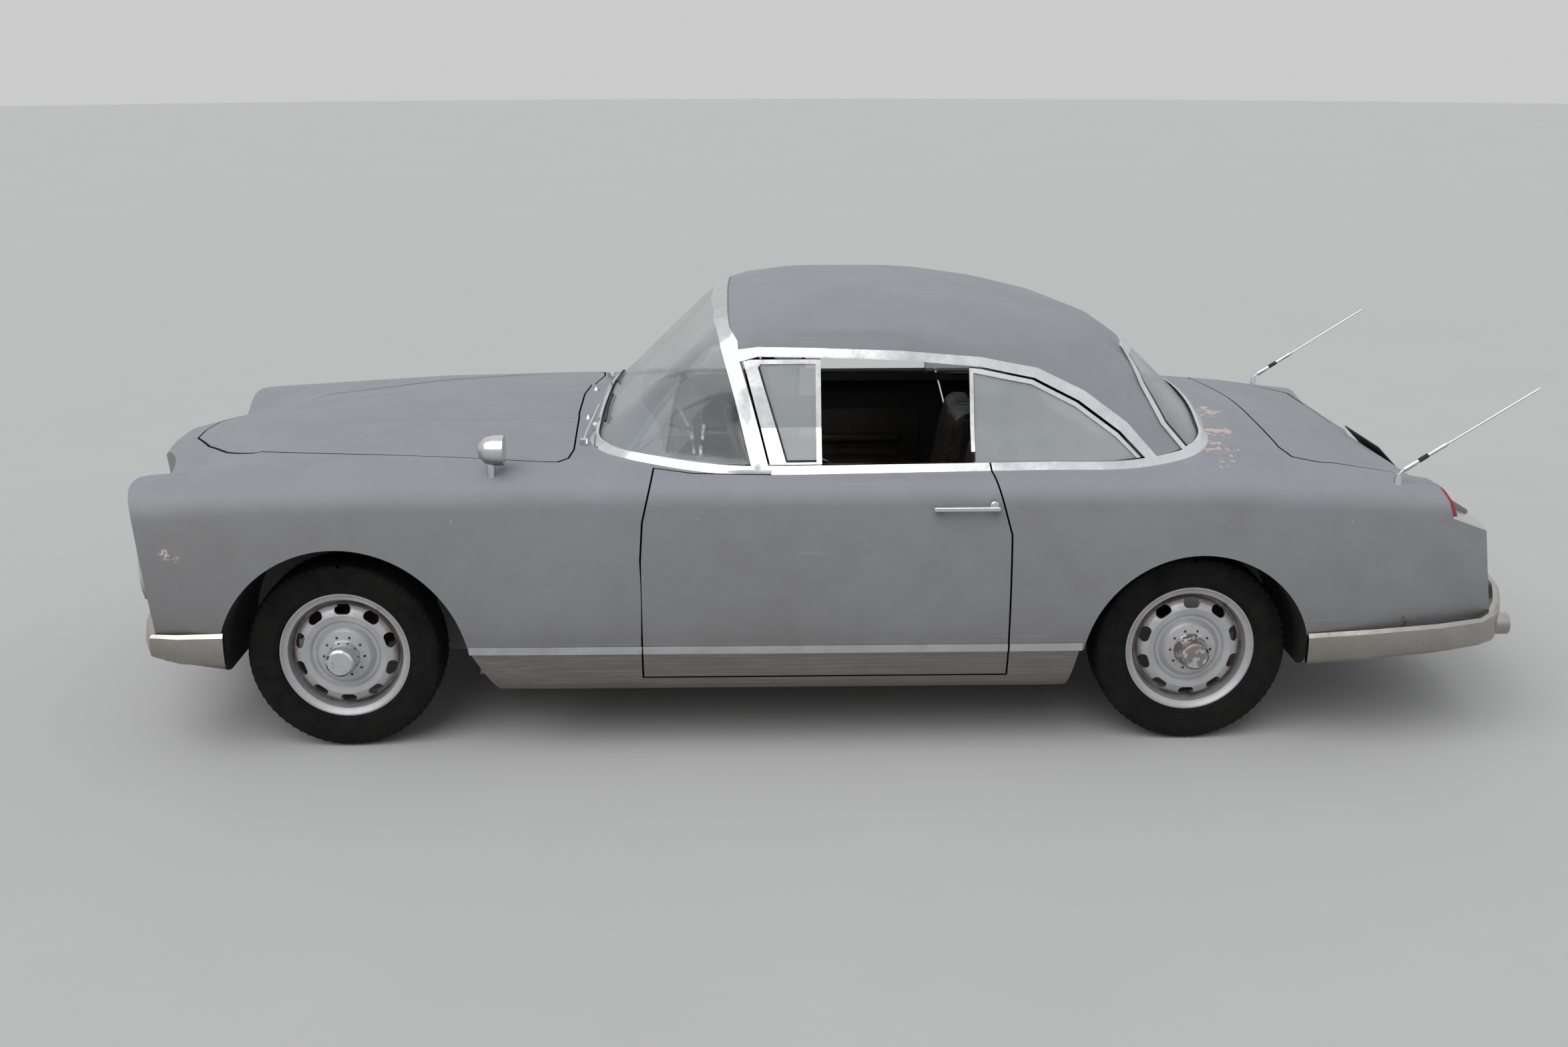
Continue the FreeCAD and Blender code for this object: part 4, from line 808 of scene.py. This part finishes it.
for pane, width in (("windshield", 0.013), ("rear_window", 0.010), ("quarter_glass", 0.006)):
    addGlassSeal(pane, width, 0.0025, "car")
for side in ("left", "right"):
    addGlassSeal("vent_glass_" + side, 0.006, 0.002, side + "_door")
print("glass seals laid")


# Seats: crowned hide cushions with sewn channels on plain frames

seatLook = {
    "voxel": 0.008, "pressure": 4.0, "frames": 20, "cap": 0.014, "channelDepth": 0.0045,
    "channelWidth": 0.004,
    "frontCushion": {"side": [(-0.010, 0.330), (0.000, 0.432), (0.435, 0.425), (0.445, 0.320)],
                     "y": (0.125, 0.605), "channels": 7},
    "frontBack": {"side": [(0.450, 0.420), (0.545, 0.868), (0.622, 0.868), (0.535, 0.400)],
                  "y": (0.130, 0.600), "channels": 7},
    "rearCushion": {"side": [(0.775, 0.505), (0.778, 0.548), (0.935, 0.540), (0.945, 0.505)],
                    "y": (0.020, 0.390), "channels": 5},
    "rearBack": {"side": [(0.958, 0.560), (1.035, 0.832), (1.115, 0.836), (1.120, 0.560)],
                 "y": (0.020, 0.390), "channels": 5},
}


def addCushion(name, look):
    (y1, y2), side = look["y"], look["side"]
    corners = [(x, y, z) for y in (y1, y2) for x, z in side]
    faces = [(0, 1, 2, 3), (7, 6, 5, 4), (0, 4, 5, 1), (1, 5, 6, 2), (2, 6, 7, 3), (3, 7, 4, 0)]
    pad = newPiece(name, corners, (), faces)
    edited(pad, ("normals_make_consistent", {"inside": False}),
           ("bevel", {"offset": 0.022, "segments": 3, "affect": "EDGES"}))
    shaped(pad, "REMESH", mode="VOXEL", voxel_size=seatLook["voxel"])
    rest = [vertex.co.copy() for vertex in pad.data.vertices]
    cloth = pad.modifiers.new("cloth", "CLOTH")
    cloth.settings.use_pressure = True
    cloth.settings.uniform_pressure_force = seatLook["pressure"]
    cloth.settings.effector_weights.gravity = 0
    scene = bpy.context.scene
    for step in range(1, seatLook["frames"] + 1):
        scene.frame_set(step)
    only(pad)
    bpy.ops.object.modifier_apply(modifier="cloth")
    scene.frame_set(1)
    step = (y2 - y1 - 0.05) / look["channels"]
    lines = [y1 + 0.025 + step * index for index in range(look["channels"] + 1)]
    pad.data.update()
    normals = [vertex.normal.copy() for vertex in pad.data.vertices]
    for vertex, start, normal in zip(pad.data.vertices, rest, normals):
        move = vertex.co - start
        if move.length > seatLook["cap"]:
            vertex.co = start + move.normalized() * seatLook["cap"]
        if abs(normal.y) < 0.7:
            near = min(abs(vertex.co.y - line) for line in lines)
            vertex.co -= normal * seatLook["channelDepth"] * math.exp(-(near / seatLook["channelWidth"]) ** 2)
    return pad


for name in ("frontCushion", "frontBack", "rearCushion", "rearBack"):
    right = addCushion(name + "_right", seatLook[name])
    left = mirrored(right, name + "_left")
    for pad in (right, left):
        done(pad, hide, "car", 50)
        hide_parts("front_seats" if "front" in name else "rear_seat")
for sign in (-1, 1):
    inner, outer = sorted((sign * 0.150, sign * 0.580))
    side = "left" if sign < 0 else "right"
    done(slab("seatFrame_" + side, (0.02, inner, 0.222), (0.50, outer, 0.330), 0.012), blackSteel, "car")
print("seats padded")


# Cabin fittings: mirror, wheel trim, gauges, door cards, carpet

cabinLook = {
    "mirror": (-0.265, 0.0, 1.250), "mirrorHalf": (0.006, 0.085, 0.022), "header": (-0.285, 0.0, 1.312),
    "wheelCentre": (-0.220, -0.370, 0.805), "column": (0.9285, 0.0, 0.3714), "hornRing": 0.120,
    "gaugeX": -0.3855, "gauges": [(-0.44, 0.825, 0.034), (-0.30, 0.825, 0.034), (-0.08, 0.825, 0.024),
                                 (0.0, 0.825, 0.024), (0.08, 0.825, 0.024)],
    "carpetLow": (-0.54, -0.67, 0.2505), "carpetHigh": (0.65, 0.67, 0.257),
}


def addMirror():
    look = cabinLook
    middle, half = Vector(look["mirror"]), Vector(look["mirrorHalf"])
    shell = slab("rearMirror", middle - half, middle + half, 0.005, 3)
    stalk = rod("rearMirrorStalk", [middle, (middle + Vector(look["header"])) / 2 + Vector((0.008, 0, 0)),
                                    look["header"]], 0.004, 10, 6)
    outline = [(0.0, -0.006), (0.012, -0.006), (0.016, 0.0), (0.016, 0.004), (0.0, 0.004)]
    foot = lathe("rearMirrorFoot", outline, look["header"], (0.4, 0, 0.9), 20)
    done(joined("rearMirror", [shell, stalk, foot]), chrome, "car")


def addWheelTrim():
    look = cabinLook
    centre, axis = Vector(look["wheelCentre"]), Vector(look["column"]).normalized()
    tube = [(look["hornRing"] + 0.004 * math.cos(turn * math.pi / 4), 0.004 * math.sin(turn * math.pi / 4))
            for turn in range(8)]
    front = centre + axis * 0.012
    ring = lathe("hornRing", tube, front, axis, 64, True)
    cap = lathe("hornCap", [(0.0, 0.020), (0.018, 0.018), (0.028, 0.012), (0.032, 0.0), (0.032, -0.006)],
                front, axis, 32)
    aside = axis.orthogonal().normalized()
    arms = []
    for turn in (0, 2 * math.pi / 3, 4 * math.pi / 3):
        way = Quaternion(axis, turn) @ aside
        arms.append(rod("hornArm", [front + way * 0.026, front + way * 0.120], 0.003, 8))
    done(joined("hornRing", [ring, cap] + arms), chrome, "steering_wheel")


def addGauges():
    look = cabinLook
    rims, dials = [], []
    for y, z, radius in look["gauges"]:
        centre = (look["gaugeX"], y, z)
        rims.append(lathe("gaugeRim", [(radius - 0.004, 0.003), (radius - 0.003, 0.007), (radius, 0.005),
                                       (radius, -0.004)], centre, (1, 0, 0), 32))
        dial = [(0.0, 0.0025), (0.002, 0.0035), (0.004, 0.0025), (radius - 0.003, 0.002)]
        dials.append(lathe("gaugeDial", dial, centre, (1, 0, 0), 32))
    done(joined("gaugeRims", rims), chrome, "car")
    done(joined("gaugeDials", dials), seal, "car")


def addDoorCard(side):
    sign = -1 if side == "left" else 1
    outer, inner = sign * 0.842, sign * 0.832
    panel = slab(side + "Card", (-0.10, min(outer, inner), 0.345), (0.46, max(outer, inner), 0.735), 0.004)
    pieces = [panel]
    for z in (0.46, 0.50, 0.54):
        pieces.append(slab(side + "CardRib", (-0.08, min(inner, inner - sign * 0.003), z),
                           (0.44, max(inner, inner - sign * 0.003), z + 0.028), 0.0028))
    y1, y2 = sorted((inner, sign * 0.782))
    rest = slab(side + "Armrest", (0.06, y1, 0.605), (0.38, y2, 0.640), 0.014, 4)
    done(joined(side + "DoorCard", pieces + [rest]), hide, side + "_door")
    foot = (0.02, inner, 0.560)
    boss = lathe(side + "Winder", [(0.0, 0.014), (0.010, 0.013), (0.014, 0.006), (0.018, 0.0)], foot,
                 (0, -sign, 0), 24)
    arm = rod(side + "WinderArm", [(0.02, inner - sign * 0.010, 0.560), (0.06, inner - sign * 0.016, 0.535),
                                   (0.10, inner - sign * 0.014, 0.520)], 0.0045, 8, 6)
    knob = lathe(side + "WinderKnob", [(0.0, 0.026), (0.008, 0.024), (0.009, 0.012), (0.006, 0.0)],
                 (0.10, inner - sign * 0.014, 0.520), (0, -sign, 0), 16)
    done(joined(side + "WinderHandle", [boss, arm, knob]), chrome, side + "_door")


def addCarpet():
    look = cabinLook
    low, high = look["carpetLow"], look["carpetHigh"]
    carpet = slab("carpet", low, high, 0.002, 1)
    edited(carpet, ("subdivide", {"number_cuts": 24}))
    for vertex in carpet.data.vertices:
        if vertex.co.z > high[2] - 0.001:
            vertex.co.z += random.uniform(-0.0015, 0.0015)
    done(carpet, pile, "car", 80)


addMirror()
addWheelTrim()
addGauges()
addDoorCard("left")
addDoorCard("right")
addCarpet()
print("cabin fitted")


# Outside fittings: lock buttons, washer jets, wiper rubbers, antenna sleeves

outsideLook = {
    "jets": [(-0.757, -0.270), (-0.763, 0.108)], "lock": (0.514, 0.886, 0.810),
    "sleeve": [(0.0, -0.002), (0.0068, 0.0), (0.0078, 0.004), (0.0078, 0.040), (0.0062, 0.046),
               (0.0062, 0.128), (0.0072, 0.132), (0.0072, 0.146), (0.0046, 0.154), (0.0, 0.156)],
    "grip": [(0.0064, 0.052), (0.0070, 0.054), (0.0070, 0.084), (0.0064, 0.086)],
    "blades": [((-0.430, 0.968), (-0.110, 0.990)), ((0.110, 0.990), (0.430, 0.968))],
}


def addJets():
    skin = treeOf(["body_shell"])
    jets = []
    for x, y in outsideLook["jets"]:
        spot = skin.ray_cast(Vector((x, y, 1.4)), Vector((0, 0, -1)))[0]
        dome = [(0.0, 0.013), (0.004, 0.012), (0.007, 0.006), (0.011, 0.002), (0.012, -0.002)]
        jets.append(lathe("washerJet", dome, spot, (0, 0, 1), 20))
    done(joined("washerJets", jets), chrome, "car")


def addLocks():
    x, y, z = outsideLook["lock"]
    for side, sign in (("left", -1), ("right", 1)):
        button = lathe(side + "DoorLock", [(0.0, 0.0200), (0.004, 0.0198), (0.0045, 0.0180), (0.0105, 0.0180),
                                           (0.0135, 0.0150), (0.0145, 0.0), (0.0145, -0.010)],
                       (x, sign * y, z), (0, sign, 0), 28)
        done(button, chrome, side + "_door")


def addBlades():
    screen = treeOf(["windshield"])
    for index, ends in enumerate(outsideLook["blades"]):
        (y1, z1), (y2, z2) = ends
        line = []
        for step in range(9):
            share = step / 8
            y, z = y1 + (y2 - y1) * share, z1 + (z2 - z1) * share
            spot, normal = screen.ray_cast(Vector((-1.5, y, z)), Vector((1, 0, 0)))[:2]
            line.append(spot + normal * (0.007 if normal.x < 0 else -0.007))
        holder = rod("wiperBlade", line, 0.0042, 8)
        lips = rod("wiperLip", [point + Vector((0.0035, 0, 0)) for point in line], 0.0026, 6)
        done(joined("wiperBlade_%d" % index, [holder, lips]), seal, "car")


def addSleeves():
    low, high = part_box("antennas")
    for side, sign in (("left", -1), ("right", 1)):
        foot = Vector((low.x + 0.014, sign * (high.y - 0.014), low.z + 0.037))
        tip = Vector((high.x, foot.y, high.z))
        way = (tip - foot).normalized()
        start = foot + way * 0.016
        sleeve = lathe(side + "AntennaSleeve", outsideLook["sleeve"], start, way, 20)
        done(sleeve, chrome, "car")
        grip = lathe(side + "AntennaGrip", outsideLook["grip"], start, way, 20)
        ridges = rod(side + "AntennaRidge", [start + way * 0.056, start + way * 0.082], 0.0074, 6)
        done(joined(side + "AntennaGrip", [grip, ridges]), seal, "car")


addJets()
addLocks()
addBlades()
addSleeves()
print("outside fitted")


# Studio: floor, light and camera

studio = {
    "floor": (0.56, 0.56, 0.555), "sky": (0.86, 0.87, 0.89), "horizon": (0.60, 0.60, 0.60), "fill": 0.58,
    "sun": {"tilt": (0.55, -0.42), "angle": 60.0, "power": 1.45},
    "camera": {"place": (-0.2215, -5.7193, 2.1557), "yaw": 0.0210, "pitch": 0.2819, "roll": -0.0014,
               "lens": 38.32},
}


def addFloor():
    bpy.ops.mesh.primitive_circle_add(vertices=96, radius=60, fill_type="NGON", location=(0, 0, 0))
    floor = bpy.context.object
    floor.name = "floor"
    floor.data.materials.append(finishMaterial("paleFloor", lambda tree: blendColor(
        tree, effect(tree, clouds, Scale=0.5, Contrast=1.0), studio["floor"], (0.58, 0.58, 0.575)), 0.85))


def addWorld():
    world = bpy.data.worlds.new("softSky")
    bpy.context.scene.world = world
    world.use_nodes = True
    tree = world.node_tree
    shown = tree.nodes["Background"]
    height = put(tree, "SeparateXYZ", {0: put(tree, "TexCoord").outputs["Generated"]}).outputs[2]
    sky = blendColor(tree, span(tree, height, 0.0, 0.6), studio["horizon"], studio["sky"])
    tree.links.new(sky, shown.inputs["Color"])
    lit = put(tree, "Background", {"Color": sky, "Strength": studio["fill"]})
    path = put(tree, "LightPath")
    seen = maths(tree, "MAXIMUM", path.outputs["Is Camera Ray"],
                 maths(tree, "MAXIMUM", path.outputs["Is Glossy Ray"], path.outputs["Is Transmission Ray"]))
    mixed = put(tree, "MixShader", {0: seen, 1: lit.outputs[0], 2: shown.outputs[0]})
    tree.links.new(mixed.outputs[0], tree.nodes["World Output"].inputs["Surface"])


def addSun(name, lamp):
    bpy.ops.object.light_add(type="SUN", location=(0, 0, 5))
    light = bpy.context.object
    light.name = name
    light.data.angle = math.radians(lamp["angle"])
    light.data.energy = lamp["power"]
    light.rotation_euler = (lamp["tilt"][0], lamp["tilt"][1], 0)


def addCamera(pose):
    bpy.ops.object.camera_add(location=pose["place"])
    camera = bpy.context.object
    flat = math.cos(pose["pitch"])
    forward = Vector((math.sin(pose["yaw"]) * flat, math.cos(pose["yaw"]) * flat, -math.sin(pose["pitch"])))
    camera.rotation_mode = "QUATERNION"
    camera.rotation_quaternion = forward.to_track_quat("-Z", "Y") @ Quaternion((0, 0, 1), pose["roll"])
    camera.data.lens = pose["lens"]
    camera.data.sensor_width = 36
    camera.data.clip_end = 200
    bpy.context.scene.camera = camera


addFloor()
addWorld()
addSun("softSun", studio["sun"])
addCamera(studio["camera"])
bpy.context.scene.view_settings.view_transform = "Standard"
print("studio ready")
